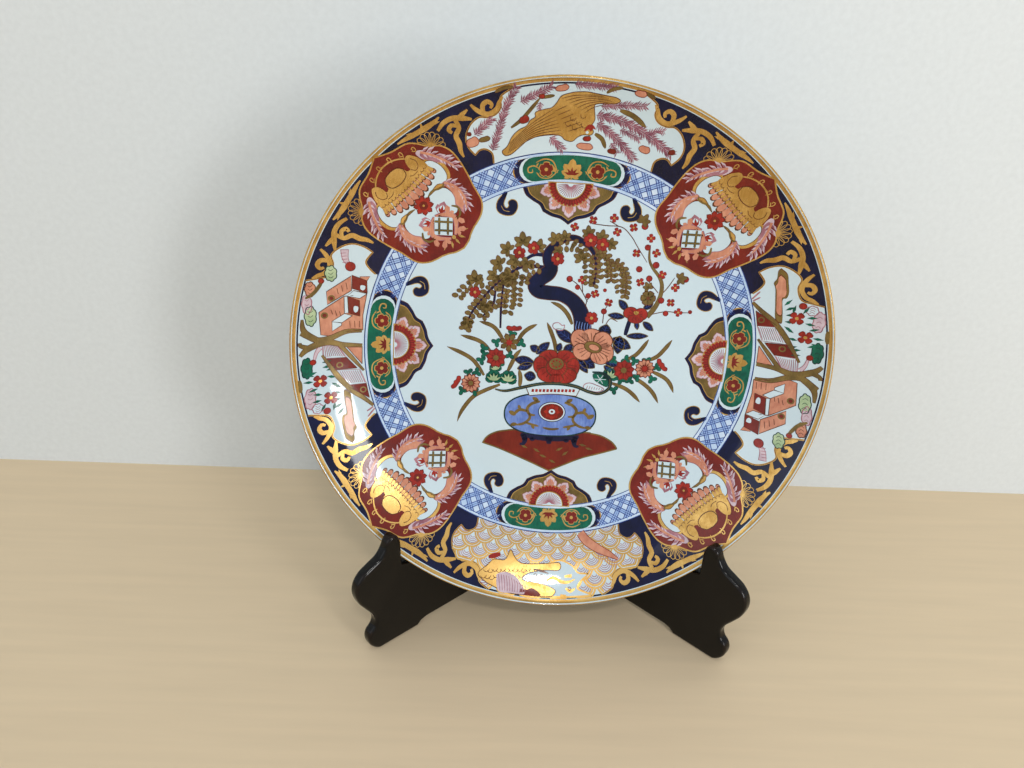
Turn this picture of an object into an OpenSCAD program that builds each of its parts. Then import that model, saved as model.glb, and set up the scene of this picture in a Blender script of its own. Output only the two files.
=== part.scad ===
// Decorated china display plate on a folding two-board wooden stand

/* [View] */
// sub-part to draw

/* [Plate] */
// outside diameter of the plate
plate_d = 310; // [240:1:360]
// depth of the well below the lip
well_depth = 28; // [18:0.5:40]
// radius of the flat floor of the well
floor_r = 78; // [60:1:95]
// how sharply the side turns up to the lip
side_power = 2.2; // [1.6:0.05:3]
// body thickness at the floor
floor_t = 4.6; // [3:0.1:7]
// body thickness just inside the lip
lip_t = 2.8; // [2:0.1:4]
// outside radius of the foot ring
foot_r = 84; // [70:1:95]
// width of the foot ring at its bottom
foot_w = 5; // [3:0.5:8]
// height of the foot ring below the floor
foot_h = 6; // [3:0.5:9]

/* [Stance] */
// backward lean of the plate from upright, degrees
lean = 13; // [5:0.5:25]
// height of the lowest point of the plate above the table
plate_lift_off = 34; // [20:0.5:60]
// half of the angle between the two open boards, degrees
half_angle = 47; // [30:0.5:55]

/* [Boards] */
// board thickness
board_t = 7.5; // [6:0.5:12]
// rounding of the lacquered edges
edge_r = 2.2; // [0.5:0.1:3]
// number of steps that make the rounding
edge_steps = 2; // [1:1:6]
// height of the relief between the two feet
relief_h = 3.6; // [2:0.1:10]
// height of the bottom of the rim notch
notch_z = 59; // [40:0.5:80]
// distance of the notch's front wall from the hinge end
notch_s = 120.5; // [100:0.1:140]

/* [Hinges] */
// height of the lower hinge's middle
lower_hinge_z = 40; // [25:1:60]
// height of the upper hinge's middle
upper_hinge_z = 146; // [120:1:165]
// height of a hinge
hinge_h = 36; // [24:1:50]
// leaf thickness
leaf_t = 1.4; // [1:0.1:2]
// outside radius of the knuckles
knuckle_r = 2.6; // [2:0.1:4]
// radius of the hinge pin
pin_r = 1.3; // [0.8:0.05:2]
// running clearance between the pin and the turning knuckle
pin_clear = 0.05; // [0.01:0.01:0.1]
// distance of the screws from the hinge's middle
screw_dz = 12; // [8:0.5:16]
// screw head radius
screw_head_r = 1.7; // [1.2:0.1:2.5]
// screw shank radius
screw_r = 0.95; // [0.6:0.05:1.5]
// screw length
screw_len = 10; // [6:0.5:14]

/* [Hidden] */
rim_r = plate_d / 2;
// the hinge axis sits one knuckle behind the rear edges, midway between the inner faces
axis_s = knuckle_r + 0.5;
axis_o = 0.2;
axis_back = 90.7;
// shift that centres the whole object on the origin, front to back
centre_y = -39.8;
seat_t = 0.05;
third = hinge_h / 3;

// depth of the glazed face below the lip at radius r
function dish(r) =
    r <= floor_r ? well_depth
    : well_depth * (1 - pow((r - floor_r) / (rim_r - floor_r), side_power));

// thickness of the body at radius r, measured along the plate's axis
function wall(r) =
    r <= 60 ? floor_t
    : floor_t - (floor_t - lip_t) * (r - 60) / (rim_r - 60);

// smooth closed or open curve through points
function blend_pt(a, b, c, d, t) =
    0.5 * (2 * b + (c - a) * t + (2 * a - 5 * b + 4 * c - d) * t * t
    + (3 * b - a - 3 * c + d) * t * t * t);
function curve(p, n) = [
    for (i = [1 : len(p) - 3])
        for (k = [0 : n - 1])
            blend_pt(p[i - 1], p[i], p[i + 1], p[i + 2], k / n)
];

face_r = concat([0, 30, 60, floor_r], [for (i = [1 : 16]) floor_r + i * (rim_r - 1.6 - floor_r) / 16]);
back_r = [for (i = [0 : 12]) rim_r - 1.2 - i * (rim_r - 1.2 - foot_r - 1) / 12];
lip_mid = [rim_r - 1.4, -1.4];

module plate_section() {
    face = [for (r = face_r) [r, -dish(r)]];
    lip = [for (a = [80 : -32 : -80]) lip_mid + 1.4 * [cos(a), sin(a)]];
    under = [for (r = back_r) [r, -dish(r) - wall(r) * 1.12]];
    base = -well_depth - floor_t - foot_h;
    inner = foot_r - foot_w;
    foot = [[foot_r, base + 4], [foot_r - 0.6, base + 0.8], [foot_r - 1.4, base],
            [inner + 1.2, base], [inner + 0.4, base + 0.8], [inner, base + foot_h],
            [60, -well_depth - floor_t], [0, -well_depth - floor_t]];
    polygon(concat(face, lip, under, foot));
}

module place_plate() {
    translate([0, centre_y + rim_r * sin(lean), plate_lift_off + rim_r * cos(lean)])
        rotate([90 - lean, 0, 0])
            children();
}

module plate() {
    color("whitesmoke")
        place_plate()
            rotate_extrude($fn = 108)
                plate_section();
}

// board outline: x runs forward from the rear edge, y runs up
post_top = [[0, 178], [0, 182], [1.5, 188.5], [7, 193.5], [14.5, 195], [21.5, 192], [26, 186],
            [27.5, 178]];
post_front = [[30, 168], [34.5, 150], [39.5, 130], [43.5, 112], [47.5, 98], [53, 86], [61, 75],
              [71, 66.5], [82, 61], [94, 58.2], [106, 57.6], [114, 57.9]];
lug = [[119, 58.6], [notch_s, 60], [notch_s + 0.1, 64], [notch_s + 0.1, 70], [notch_s + 0.4, 76],
       [notch_s + 2.6, 80.6], [126.4, 82.2], [130, 79.8], [132.4, 74.6]];
lobes = [[136.2, 69.8], [142, 66.8], [148.3, 63.3], [152.6, 57.8], [153.8, 51], [151.8, 43.5],
         [147.5, 36.5], [143.2, 30], [141.4, 24], [142.6, 19.5], [145.8, 16.2], [147.2, 12],
         [146.2, 6.5], [143, 2.2], [139.5, 0], [136, 0]];
sole = [[110, 0], [107, relief_h - 1], [103, relief_h], [34, relief_h], [30, relief_h - 1], [27, 0],
        [0, 0]];

module board_outline() {
    intersection() {
        polygon(concat(curve(concat([[0, 170]], post_top, post_front, lug, lobes, [[130, 0]]), 3), sole));
        translate([-1, 0])
            square([200, 200]);
    }
}

module rear_strip() {
    intersection() {
        board_outline();
        translate([-1, 0])
            square([7, 182]);
    }
}

module board_body() {
    for (i = [0 : edge_steps]) {
        a = 90 * i / edge_steps;
        inset = edge_r * (1 - sin(a));
        out = edge_r * (1 - cos(a));
        translate([0, board_t - inset, 0])
            rotate([90, 0, 0])
                linear_extrude(board_t - 2 * inset) {
                    offset(delta = -out)
                        board_outline();
                    rear_strip();
                }
    }
}

// the rim notch is sawn parallel to the plate, across the slanted board
module notch_cut() {
    slope = cos(half_angle) / sin(half_angle) * 0.795;
    translate([0, 0, notch_z])
        linear_extrude(40)
            polygon([[100, -1], [notch_s - slope, -1], [notch_s + slope * (board_t + 1), board_t + 1],
                     [100, board_t + 1]]);
}

module screw_bore(z) {
    translate([-1, screw_o, z])
        rotate([0, 90, 0])
            cylinder(h = screw_len + 0.5, r = screw_r + 0.05, $fn = 32);
}

screw_o = 4.6;

module board() {
    difference() {
        board_body();
        notch_cut();
        screw_bore(lower_hinge_z - screw_dz);
        screw_bore(lower_hinge_z + screw_dz);
        screw_bore(upper_hinge_z - screw_dz);
        screw_bore(upper_hinge_z + screw_dz);
    }
}

// stands a right-hand piece on the hinge axis and turns it to its open angle
module on_right() {
    translate([0, centre_y + axis_back, 0])
        rotate([0, 0, half_angle - 90])
            translate([axis_s, axis_o, 0])
                children();
}

module on_left() {
    mirror([1, 0, 0])
        on_right()
            children();
}

module right_board() {
    color("dimgray")
        on_right()
            board();
}

module left_board() {
    color("dimgray")
        on_left()
            board();
}

// one barrel section of a hinge, around the pin
module knuckle(z0, h, bore) {
    translate([-axis_s, -axis_o, z0])
        difference() {
            cylinder(h = h, r = knuckle_r, $fn = 48);
            translate([0, 0, -1])
                cylinder(h = h + 2, r = bore, $fn = 48);
        }
}

module leaf_plate(z0, h, from) {
    translate([-leaf_t - seat_t, from, z0])
        cube([leaf_t, board_t - 0.5 - from, h]);
}

module leaf_hole(z) {
    translate([-leaf_t - seat_t - 0.01, screw_o, z])
        rotate([0, 90, 0]) {
            cylinder(h = 3, r = screw_r + 0.05, $fn = 32);
            cylinder(h = 0.85, r1 = screw_head_r + 0.05, r2 = screw_r + 0.05, $fn = 32);
        }
}

module pin_room(z0, h, r) {
    translate([-axis_s, -axis_o, z0])
        cylinder(h = h, r = r, $fn = 48);
}

// leaf with the two outer knuckles, which hold the pin
module outer_leaf(z) {
    low = z - hinge_h / 2;
    difference() {
        union() {
            leaf_plate(low, hinge_h, 3);
            leaf_plate(low, third - 0.2, -axis_o);
            leaf_plate(low + 2 * third + 0.2, third - 0.2, -axis_o);
            knuckle(low, third - 0.2, pin_r + 0.02);
            knuckle(low + 2 * third + 0.2, third - 0.2, pin_r + 0.02);
        }
        pin_room(low - 1, hinge_h + 2, pin_r + 0.02);
        leaf_hole(z - screw_dz);
        leaf_hole(z + screw_dz);
    }
}

// leaf with the middle knuckle, which turns on the pin
module inner_leaf(z) {
    low = z - hinge_h / 2;
    difference() {
        union() {
            leaf_plate(low, hinge_h, 3);
            leaf_plate(low + third + 0.2, third - 0.4, -axis_o);
            knuckle(low + third + 0.2, third - 0.4, pin_r + pin_clear);
        }
        pin_room(low - 1, hinge_h + 2, pin_r + pin_clear);
        leaf_hole(z - screw_dz);
        leaf_hole(z + screw_dz);
    }
}

module hinge_pin(z) {
    low = z - hinge_h / 2;
    translate([0, centre_y + axis_back, 0]) {
        translate([0, 0, low - 0.05])
            cylinder(h = hinge_h + 0.1, r = pin_r, $fn = 48);
        translate([0, 0, low - 1.25])
            cylinder(h = 1.2, r1 = pin_r + 0.2, r2 = pin_r + 0.9, $fn = 48);
        translate([0, 0, low + hinge_h + 0.05])
            cylinder(h = 1.2, r1 = pin_r + 0.9, r2 = pin_r + 0.2, $fn = 48);
    }
}

module screw(z) {
    translate([-leaf_t - seat_t, screw_o, z])
        rotate([0, 90, 0])
            difference() {
                union() {
                    cylinder(h = screw_len - 2, r = screw_r, $fn = 32);
                    translate([0, 0, screw_len - 2])
                        cylinder(h = 2, r1 = screw_r, r2 = 0.2, $fn = 32);
                    cylinder(h = 0.8, r1 = screw_head_r, r2 = screw_r, $fn = 32);
                }
                translate([-2.5, -0.2, -0.1])
                    cube([5, 0.4, 0.45]);
            }
}

module upper_leaf_left() {
    color("goldenrod")
        on_left()
            outer_leaf(upper_hinge_z);
}

module upper_leaf_right() {
    color("darkgoldenrod")
        on_right()
            inner_leaf(upper_hinge_z);
}

module upper_pin() {
    color("khaki")
        hinge_pin(upper_hinge_z);
}

module lower_leaf_left() {
    color("goldenrod")
        on_left()
            outer_leaf(lower_hinge_z);
}

module lower_leaf_right() {
    color("darkgoldenrod")
        on_right()
            inner_leaf(lower_hinge_z);
}

module lower_pin() {
    color("khaki")
        hinge_pin(lower_hinge_z);
}

module left_screw(z) {
    color("gold")
        on_left()
            screw(z);
}

module right_screw(z) {
    color("gold")
        on_right()
            screw(z);
}

plate();
left_board();
right_board();
upper_leaf_left();
upper_leaf_right();
upper_pin();
lower_leaf_left();
lower_leaf_right();
lower_pin();
left_screw(upper_hinge_z - screw_dz);  // upper_left_screw_a
left_screw(upper_hinge_z + screw_dz);  // upper_left_screw_b
right_screw(upper_hinge_z - screw_dz);  // upper_right_screw_a
right_screw(upper_hinge_z + screw_dz);  // upper_right_screw_b
left_screw(lower_hinge_z - screw_dz);  // lower_left_screw_a
left_screw(lower_hinge_z + screw_dz);  // lower_left_screw_b
right_screw(lower_hinge_z - screw_dz);  // lower_right_screw_a
right_screw(lower_hinge_z + screw_dz);  // lower_right_screw_b
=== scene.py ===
import cmath
import math
from contextlib import contextmanager

import bmesh
import bpy
import numpy as np
from mathutils import Matrix, Vector
from mathutils.geometry import delaunay_2d_cdt


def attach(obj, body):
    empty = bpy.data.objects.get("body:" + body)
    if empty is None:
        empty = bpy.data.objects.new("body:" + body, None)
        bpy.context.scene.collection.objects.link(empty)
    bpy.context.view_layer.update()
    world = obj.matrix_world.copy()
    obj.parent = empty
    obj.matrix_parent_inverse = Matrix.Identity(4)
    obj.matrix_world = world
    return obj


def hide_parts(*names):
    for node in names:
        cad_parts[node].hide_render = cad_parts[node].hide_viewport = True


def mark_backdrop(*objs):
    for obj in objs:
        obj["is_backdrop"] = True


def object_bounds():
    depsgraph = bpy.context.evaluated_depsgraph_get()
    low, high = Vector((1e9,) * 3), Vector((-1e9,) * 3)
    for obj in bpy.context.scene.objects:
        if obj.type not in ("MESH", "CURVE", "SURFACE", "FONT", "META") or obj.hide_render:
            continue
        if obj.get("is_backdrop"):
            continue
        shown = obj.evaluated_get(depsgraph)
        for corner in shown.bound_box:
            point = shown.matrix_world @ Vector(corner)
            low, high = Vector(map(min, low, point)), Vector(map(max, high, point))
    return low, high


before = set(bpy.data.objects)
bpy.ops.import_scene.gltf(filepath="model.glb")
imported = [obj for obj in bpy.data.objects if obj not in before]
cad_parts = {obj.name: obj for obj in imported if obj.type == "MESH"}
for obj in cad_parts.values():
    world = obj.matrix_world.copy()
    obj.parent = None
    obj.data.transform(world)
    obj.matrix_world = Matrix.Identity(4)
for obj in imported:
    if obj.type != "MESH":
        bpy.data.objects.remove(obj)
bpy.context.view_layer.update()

# ---------------- the room
# A pale scrubbed table top and a pale matt wall close behind it, both only a setting. The
# wall is one-sided, so that the back of the plate can be looked at too.
MM = 0.001
wall_y = 146 * MM
room_half, wall_top = 3.0, 2.5


def paint(red, green, blue):
    """A colour as a paint chart gives it, 0 to 255, as Blender wants it."""
    return tuple((c / 255 / 12.92) if c <= 10 else ((c / 255 + 0.055) / 1.055) ** 2.4
                 for c in (red, green, blue)) + (1.0,)


def new_material(name):
    """An empty material with its shader and output, ready for nodes."""
    made = bpy.data.materials.new(name)
    made.use_nodes = True
    made.node_tree.nodes.clear()
    out = made.node_tree.nodes.new("ShaderNodeOutputMaterial")
    shader = made.node_tree.nodes.new("ShaderNodeBsdfPrincipled")
    made.node_tree.links.new(shader.outputs["BSDF"], out.inputs["Surface"])
    return made, made.node_tree, shader, out


def add(tree, kind, values=(), **settings):
    """A node with its settings and with values or links in its inputs, by name or number."""
    made = tree.nodes.new(kind)
    for key, value in settings.items():
        setattr(made, key, value)
    for key, value in dict(values).items():
        if isinstance(value, bpy.types.NodeSocket):
            tree.links.new(value, made.inputs[key])
        else:
            made.inputs[key].default_value = value
    return made


def plain_object(name, points, faces, smooth=False):
    """A mesh object at the origin from points in metres."""
    mesh = bpy.data.meshes.new(name)
    mesh.from_pydata([tuple(p) for p in points], [], [tuple(f) for f in faces])
    mesh.update()
    if smooth:
        mesh.shade_smooth()
    made = bpy.data.objects.new(name, mesh)
    bpy.context.scene.collection.objects.link(made)
    return made


def grained(tree, scale, detail, stretch=None, turn=(0, 0, 0)):
    """A noise that stays with the piece, stretched or turned where the real grain is."""
    where = add(tree, "ShaderNodeTexCoord").outputs["Object"]
    if stretch:
        where = add(tree, "ShaderNodeMapping", {"Vector": where, "Scale": stretch, "Rotation": turn}).outputs["Vector"]
    return add(tree, "ShaderNodeTexNoise", {"Vector": where, "Scale": scale, "Detail": detail}).outputs["Fac"]


def ranged(tree, value, low, high, to_low=0.0, to_high=1.0):
    """A value stretched from one range to another."""
    return add(tree, "ShaderNodeMapRange", {"Value": value, "From Min": low, "From Max": high,
                                            "To Min": to_low, "To Max": to_high}).outputs["Result"]


def two_tone(tree, share, light, dark):
    """A colour that goes from a light paint to a dark one."""
    mix = add(tree, "ShaderNodeMix", {"Factor": share}, data_type="RGBA")
    mix.inputs["A"].default_value = paint(*light)
    mix.inputs["B"].default_value = paint(*dark)
    return mix.outputs["Result"]


def room_material(name, colour, grain, streak, one_sided=False):
    """A plain matt surface with a very faint grain."""
    made, tree, shader, out = new_material(name)
    tint = ranged(tree, grained(tree, grain, 4.0, streak), 0.3, 0.7)
    shade = two_tone(tree, tint, colour, [c * 0.975 for c in colour])
    tree.links.new(shade, shader.inputs["Base Color"])
    shader.inputs["Roughness"].default_value = 0.62
    shader.inputs["Specular IOR Level"].default_value = 0.3
    if one_sided:
        side = add(tree, "ShaderNodeNewGeometry")
        clear = add(tree, "ShaderNodeBsdfTransparent")
        both = add(tree, "ShaderNodeMixShader", {0: side.outputs["Backfacing"], 1: shader.outputs["BSDF"],
                                                 2: clear.outputs["BSDF"]})
        tree.links.new(both.outputs["Shader"], out.inputs["Surface"])
    return made


table = plain_object("table_top", [(x, y, 0) for x, y in ((-room_half, -room_half), (room_half, -room_half),
    (room_half, room_half), (-room_half, room_half))], [(0, 1, 2, 3)])
table.data.materials.append(room_material("pale_table", (227, 205, 172), 14.0, (0.6, 9.0, 1.0)))
wall = plain_object("back_wall", [(x, wall_y, z) for x, z in (
    (-room_half, 0), (room_half, 0), (room_half, wall_top), (-room_half, wall_top))], [(0, 1, 2, 3)])
wall.data.materials.append(room_material("pale_wall", (221, 226, 228), 260.0, (1.0, 1.0, 1.0), one_sided=True))
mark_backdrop(table, wall)

# ---------------- lights and camera
# Soft boxes: a tall one on the right, which throws the shadow and gleams in the gilding, a
# small one high in front and a wide weak one on the left, in a pale even room.


def softbox(name, place, aim, size, power, colour=(1.0, 0.98, 0.95)):
    """An area light at a place, turned to its aim, with no shape of its own to see."""
    lamp = bpy.data.lights.new(name, "AREA")
    lamp.shape = "RECTANGLE"
    lamp.size, lamp.size_y = size
    lamp.energy = power
    lamp.color = colour
    made = bpy.data.objects.new(name, lamp)
    made.location = place
    made.rotation_euler = (Vector(aim) - Vector(place)).to_track_quat("-Z", "Y").to_euler()
    bpy.context.scene.collection.objects.link(made)


softbox("side_window", (0.92, -1.2, 0.46), (0, 0, 0.15), (0.26, 0.5), 7.5, (1.0, 1.0, 1.0))
softbox("ceiling_lamp", (0.15, -1.2, 1.42), (0, 0, 0.15), (0.2, 0.1), 4.5)
softbox("far_window", (-1.3, -1.6, 1.05), (0, 0, 0.15), (1.3, 1.3), 5.0, (0.95, 0.98, 1.0))
world = bpy.data.worlds.new("soft_room")
world.use_nodes = True
world.node_tree.nodes["Background"].inputs["Color"].default_value = (0.92, 0.97, 1.0, 1.0)
world.node_tree.nodes["Background"].inputs["Strength"].default_value = 0.66
bpy.context.scene.world = world
bpy.context.scene.view_settings.view_transform = "Standard"

lens = bpy.data.cameras.new("camera")
lens.lens, lens.sensor_width = 29.5, 36.0
lens.clip_start, lens.clip_end = 0.01, 20.0
camera = bpy.data.objects.new("camera", lens)
bpy.context.scene.collection.objects.link(camera)
eye = Vector((-30.8, -429.0, 404.2)) * MM
gaze = Vector((0.0062, 0.8761, -0.4822)).normalized()
tilt = math.radians(-2.2)
side = gaze.cross(Vector((0, 0, 1))).normalized()
level_up = side.cross(gaze)
head_up = level_up * math.cos(tilt) + side * math.sin(tilt)
camera.matrix_world = Matrix.Translation(eye) @ Matrix([gaze.cross(head_up), head_up, -gaze]).transposed().to_4x4()
bpy.context.scene.camera = camera

# ---------------- the porcelain plate
# A 31 cm dish of white porcelain, jiggered over a plaster mould, glazed inside and out and
# fired standing on its ground foot ring. The wheel's rule makes it: one section, turned.
rim_radius = 155.0
floor_radius = 78.0
well_depth = 28.0
side_power = 2.2
foot_radius = 84.0
floor_wall, lip_wall = 4.6, 2.8
base_height = -38.6
thinning_from = 60
bare_from, bare_to = -37.2, -38.0
lip_bead, bead_radius = 1.4, 153.6
lean = math.radians(13)
plate_centre = Vector((0, -39.8 + rim_radius * math.sin(lean), 34 + rim_radius * math.cos(lean))) * MM


def dish(r):
    """Depth of the glazed face below the lip, in mm, at a radius in mm."""
    t = np.maximum(0.0, (np.asarray(r, float) - floor_radius) / (rim_radius - floor_radius))
    return well_depth * (1 - t ** side_power)


def underside(r):
    """Height of the underside at a radius."""
    thinner = (floor_wall - lip_wall) * max(0, r - thinning_from) / (rim_radius - thinning_from)
    return -float(dish(r)) - 1.12 * (floor_wall - thinner)


face_line = [(r, -float(dish(r))) for r in (0, 20, 40, 60, 74, *np.arange(78, 152.6, 1.5), 153.4)]
bead_line = [(bead_radius + lip_bead * math.cos(math.radians(a)), -lip_bead + lip_bead * math.sin(math.radians(a)))
             for a in range(80, -81, -16)]
under_line = [(r, underside(r)) for r in np.arange(153.0, 85.5, -2.4)]
foot_line = [
    (foot_radius, -33.2), (83.7, -35.5), (83.2, -37.6), (82.6, -38.3), (82.0, base_height), (80.4, base_height),
    (79.7, -38.2), (79.3, -37.2), (79.0, -35.0), (78.8, -33.4), (77.8, -32.7), (74, -32.6), (60, -32.6),
    (30, -32.6), (0, -32.6)]


def geometry_tree(name, sockets):
    """An empty node tree for a Geometry Nodes modifier, with named inputs."""
    tree = bpy.data.node_groups.new(name, "GeometryNodeTree")
    tree.interface.new_socket("Geometry", in_out="INPUT", socket_type="NodeSocketGeometry")
    for label, kind, value in sockets:
        made = tree.interface.new_socket(label, in_out="INPUT", socket_type="NodeSocket" + kind)
        if value is not None:
            made.default_value = value
    tree.interface.new_socket("Geometry", in_out="OUTPUT", socket_type="NodeSocketGeometry")
    return tree, tree.nodes.new("NodeGroupInput"), tree.nodes.new("NodeGroupOutput")


def sum_up(tree, how, a, b=0.0, c=0.0):
    """One step of arithmetic in a tree."""
    return add(tree, "ShaderNodeMath", {0: a, 1: b, 2: c}, operation=how).outputs[0]


def stand_up(tree, given, geometry):
    """Leans a dish that lies flat back on its stand, by the tree's own inputs."""
    spin = add(tree, "ShaderNodeCombineXYZ", {"X": sum_up(tree, "SUBTRACT", math.pi / 2, given.outputs["Lean"])})
    turn = add(tree, "FunctionNodeEulerToRotation", {0: spin.outputs[0]})
    return add(tree, "GeometryNodeTransform", {"Geometry": geometry, "Rotation": turn.outputs[0],
                                               "Translation": given.outputs["Centre"]}).outputs[0]


def finish_tree(tree, given, out, geometry):
    """Ends a tree: real mesh, in its material."""
    real = add(tree, "GeometryNodeRealizeInstances", {"Geometry": geometry})
    last = add(tree, "GeometryNodeSetMaterial", {"Geometry": real.outputs[0], "Material": given.outputs["Material"]})
    tree.links.new(last.outputs[0], out.inputs[0])
    return tree


def wheel_tree():
    """Turns the section it is given about the plate's axis and leans it back on its stand."""
    tree, given, out = geometry_tree("turned_on_the_wheel", [
        ("Section points", "Int", 10), ("Segments", "Int", 96), ("Lean", "Float", 0.0),
        ("Centre", "Vector", None), ("Material", "Material", None)])
    rows = sum_up(tree, "ADD", given.outputs["Segments"], 1)
    grid = add(tree, "GeometryNodeMeshGrid", {"Size X": 1.0, "Size Y": 1.0, "Vertices Y": rows,
                                              "Vertices X": given.outputs["Section points"]})
    place = add(tree, "ShaderNodeSeparateXYZ", {0: add(tree, "GeometryNodeInputPosition").outputs[0]})
    last = sum_up(tree, "SUBTRACT", given.outputs["Section points"], 1)
    row = sum_up(tree, "ROUND", sum_up(tree, "MULTIPLY", sum_up(tree, "ADD", place.outputs["X"], 0.5), last))
    angle = sum_up(tree, "MULTIPLY", sum_up(tree, "ADD", place.outputs["Y"], 0.5), 2 * math.pi)
    section = add(tree, "GeometryNodeSampleIndex", {
        "Geometry": given.outputs["Geometry"], "Index": row,
        "Value": add(tree, "GeometryNodeInputPosition").outputs[0]}, data_type="FLOAT_VECTOR", domain="POINT")
    cut = add(tree, "ShaderNodeSeparateXYZ", {0: section.outputs[0]})
    ring = add(tree, "ShaderNodeCombineXYZ", {
        "X": sum_up(tree, "MULTIPLY", cut.outputs["X"], sum_up(tree, "COSINE", angle)),
        "Y": sum_up(tree, "MULTIPLY", cut.outputs["X"], sum_up(tree, "SINE", angle)), "Z": cut.outputs["Z"]})
    spun = add(tree, "GeometryNodeSetPosition", {"Geometry": grid.outputs["Mesh"], "Position": ring.outputs[0]})
    closed = add(tree, "GeometryNodeMergeByDistance", {"Geometry": spun.outputs[0], "Distance": 0.000002})
    return finish_tree(tree, given, out, stand_up(tree, given, closed.outputs[0]))


def run_tree(obj, tree, **values):
    """Runs a tree on an object and gives back the plain mesh it makes; the object is used up."""
    step = obj.modifiers.new("work", "NODES")
    step.node_group = tree
    for item in tree.interface.items_tree:
        if item.in_out == "INPUT" and item.name in values:
            step[item.identifier] = values[item.name]
    obj.update_tag()
    ready = obj.evaluated_get(bpy.context.evaluated_depsgraph_get())
    mesh = bpy.data.meshes.new_from_object(ready)
    obj.modifiers.remove(step)
    bpy.data.objects.remove(obj)
    return mesh


def turned(name, section, segments, material, shut):
    """A piece turned on the wheel from its section, in mm."""
    points = [(r * MM, 0, z * MM) for r, z in section]
    blank = plain_object(name + "_section", points, [])
    mesh = run_tree(blank, wheel, **{"Section points": len(section), "Segments": segments, "Lean": lean,
                                     "Centre": plate_centre, "Material": material})
    mesh.name = name
    work = bmesh.new()
    work.from_mesh(mesh)
    if shut:
        bmesh.ops.recalc_face_normals(work, faces=work.faces)
    elif sum(f.normal.y * f.calc_area() for f in work.faces) > 0:
        bmesh.ops.reverse_faces(work, faces=work.faces)
    work.to_mesh(mesh)
    work.free()
    mesh.shade_smooth()
    made = bpy.data.objects.new(name, mesh)
    bpy.context.scene.collection.objects.link(made)
    return made


wheel = wheel_tree()


def glaze_group():
    """The skin that every fired colour has: a soft pooling of its tone, brush streaks and a faint ripple."""
    tree = bpy.data.node_groups.new("fired_skin", "ShaderNodeTree")
    for label, value in (("Pool size", 40.0), ("Streak size", 900.0), ("Streaks", 0.3), ("Ripple", 0.05)):
        tree.interface.new_socket(label, in_out="INPUT", socket_type="NodeSocketFloat").default_value = value
    tree.interface.new_socket("Tone", in_out="OUTPUT", socket_type="NodeSocketFloat")
    tree.interface.new_socket("Normal", in_out="OUTPUT", socket_type="NodeSocketVector")
    given, out = tree.nodes.new("NodeGroupInput"), tree.nodes.new("NodeGroupOutput")
    pool = grained(tree, given.outputs["Pool size"], 3.0)
    brush = grained(tree, given.outputs["Streak size"], 4.0, (1.0, 1.0, 0.16), (0.2, 0.5, 0.3))
    both = sum_up(tree, "ADD", sum_up(tree, "MULTIPLY", sum_up(tree, "SUBTRACT", brush, 0.5),
                                      given.outputs["Streaks"]), pool)
    bump = add(tree, "ShaderNodeBump", {"Height": grained(tree, 120.0, 2.0), "Strength": given.outputs["Ripple"],
                                        "Distance": 0.0004})
    tree.links.new(ranged(tree, both, 0.32, 0.68), out.inputs["Tone"])
    tree.links.new(bump.outputs["Normal"], out.inputs["Normal"])
    return tree


fired_skin = glaze_group()


def enamel(name, light, dark, rough=(0.06, 0.12), metal=0.0, pool=60.0, streaks=0.3, ripple=0.05, shine=0.3):
    """A fired colour, from its thin tone to its thick one."""
    made, tree, shader, _ = new_material(name)
    skin = add(tree, "ShaderNodeGroup", node_tree=fired_skin)
    for label, value in (("Pool size", pool), ("Streaks", streaks), ("Ripple", ripple)):
        skin.inputs[label].default_value = value
    tree.links.new(two_tone(tree, skin.outputs["Tone"], light, dark), shader.inputs["Base Color"])
    tree.links.new(ranged(tree, skin.outputs["Tone"], 0.0, 1.0, *rough), shader.inputs["Roughness"])
    tree.links.new(skin.outputs["Normal"], shader.inputs["Normal"])
    shader.inputs["Metallic"].default_value = metal
    shader.inputs["Specular IOR Level"].default_value = shine
    return made


def porcelain_material():
    """White glaze over the body, with the bare foot ring and its grey firing sand."""
    made = enamel("white_glaze", (203, 220, 228), (193, 212, 222), rough=(0.04, 0.08), pool=9.0,
                  streaks=0.05, ripple=0.06, shine=0.5)
    tree = made.node_tree
    shader = next(n for n in tree.nodes if n.type == "BSDF_PRINCIPLED")
    tone, matt = (shader.inputs[label].links[0].from_socket for label in ("Base Color", "Roughness"))
    where = add(tree, "ShaderNodeTexCoord")
    local = add(tree, "ShaderNodeMapping", {"Vector": where.outputs["Object"], "Location": plate_centre,
                                            "Rotation": (math.pi / 2 - lean, 0, 0)}, vector_type="TEXTURE")
    axes = add(tree, "ShaderNodeSeparateXYZ", {0: local.outputs["Vector"]})
    bare = ranged(tree, axes.outputs["Z"], bare_from * MM, bare_to * MM)
    sand = two_tone(tree, grained(tree, 1600.0, 3.0), (222, 214, 200), (176, 160, 140))
    body = add(tree, "ShaderNodeMix", {"Factor": bare}, data_type="RGBA")
    tree.links.new(tone, body.inputs["A"])
    tree.links.new(sand, body.inputs["B"])
    tree.links.new(body.outputs["Result"], shader.inputs["Base Color"])
    tree.links.new(sum_up(tree, "MULTIPLY_ADD", bare, 0.6, matt), shader.inputs["Roughness"])
    return made


white_glaze = porcelain_material()
plate = turned("glazed_plate", face_line + bead_line + under_line + foot_line, 384, white_glaze, shut=True)
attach(plate, "plate_body")
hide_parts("plate")

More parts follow.
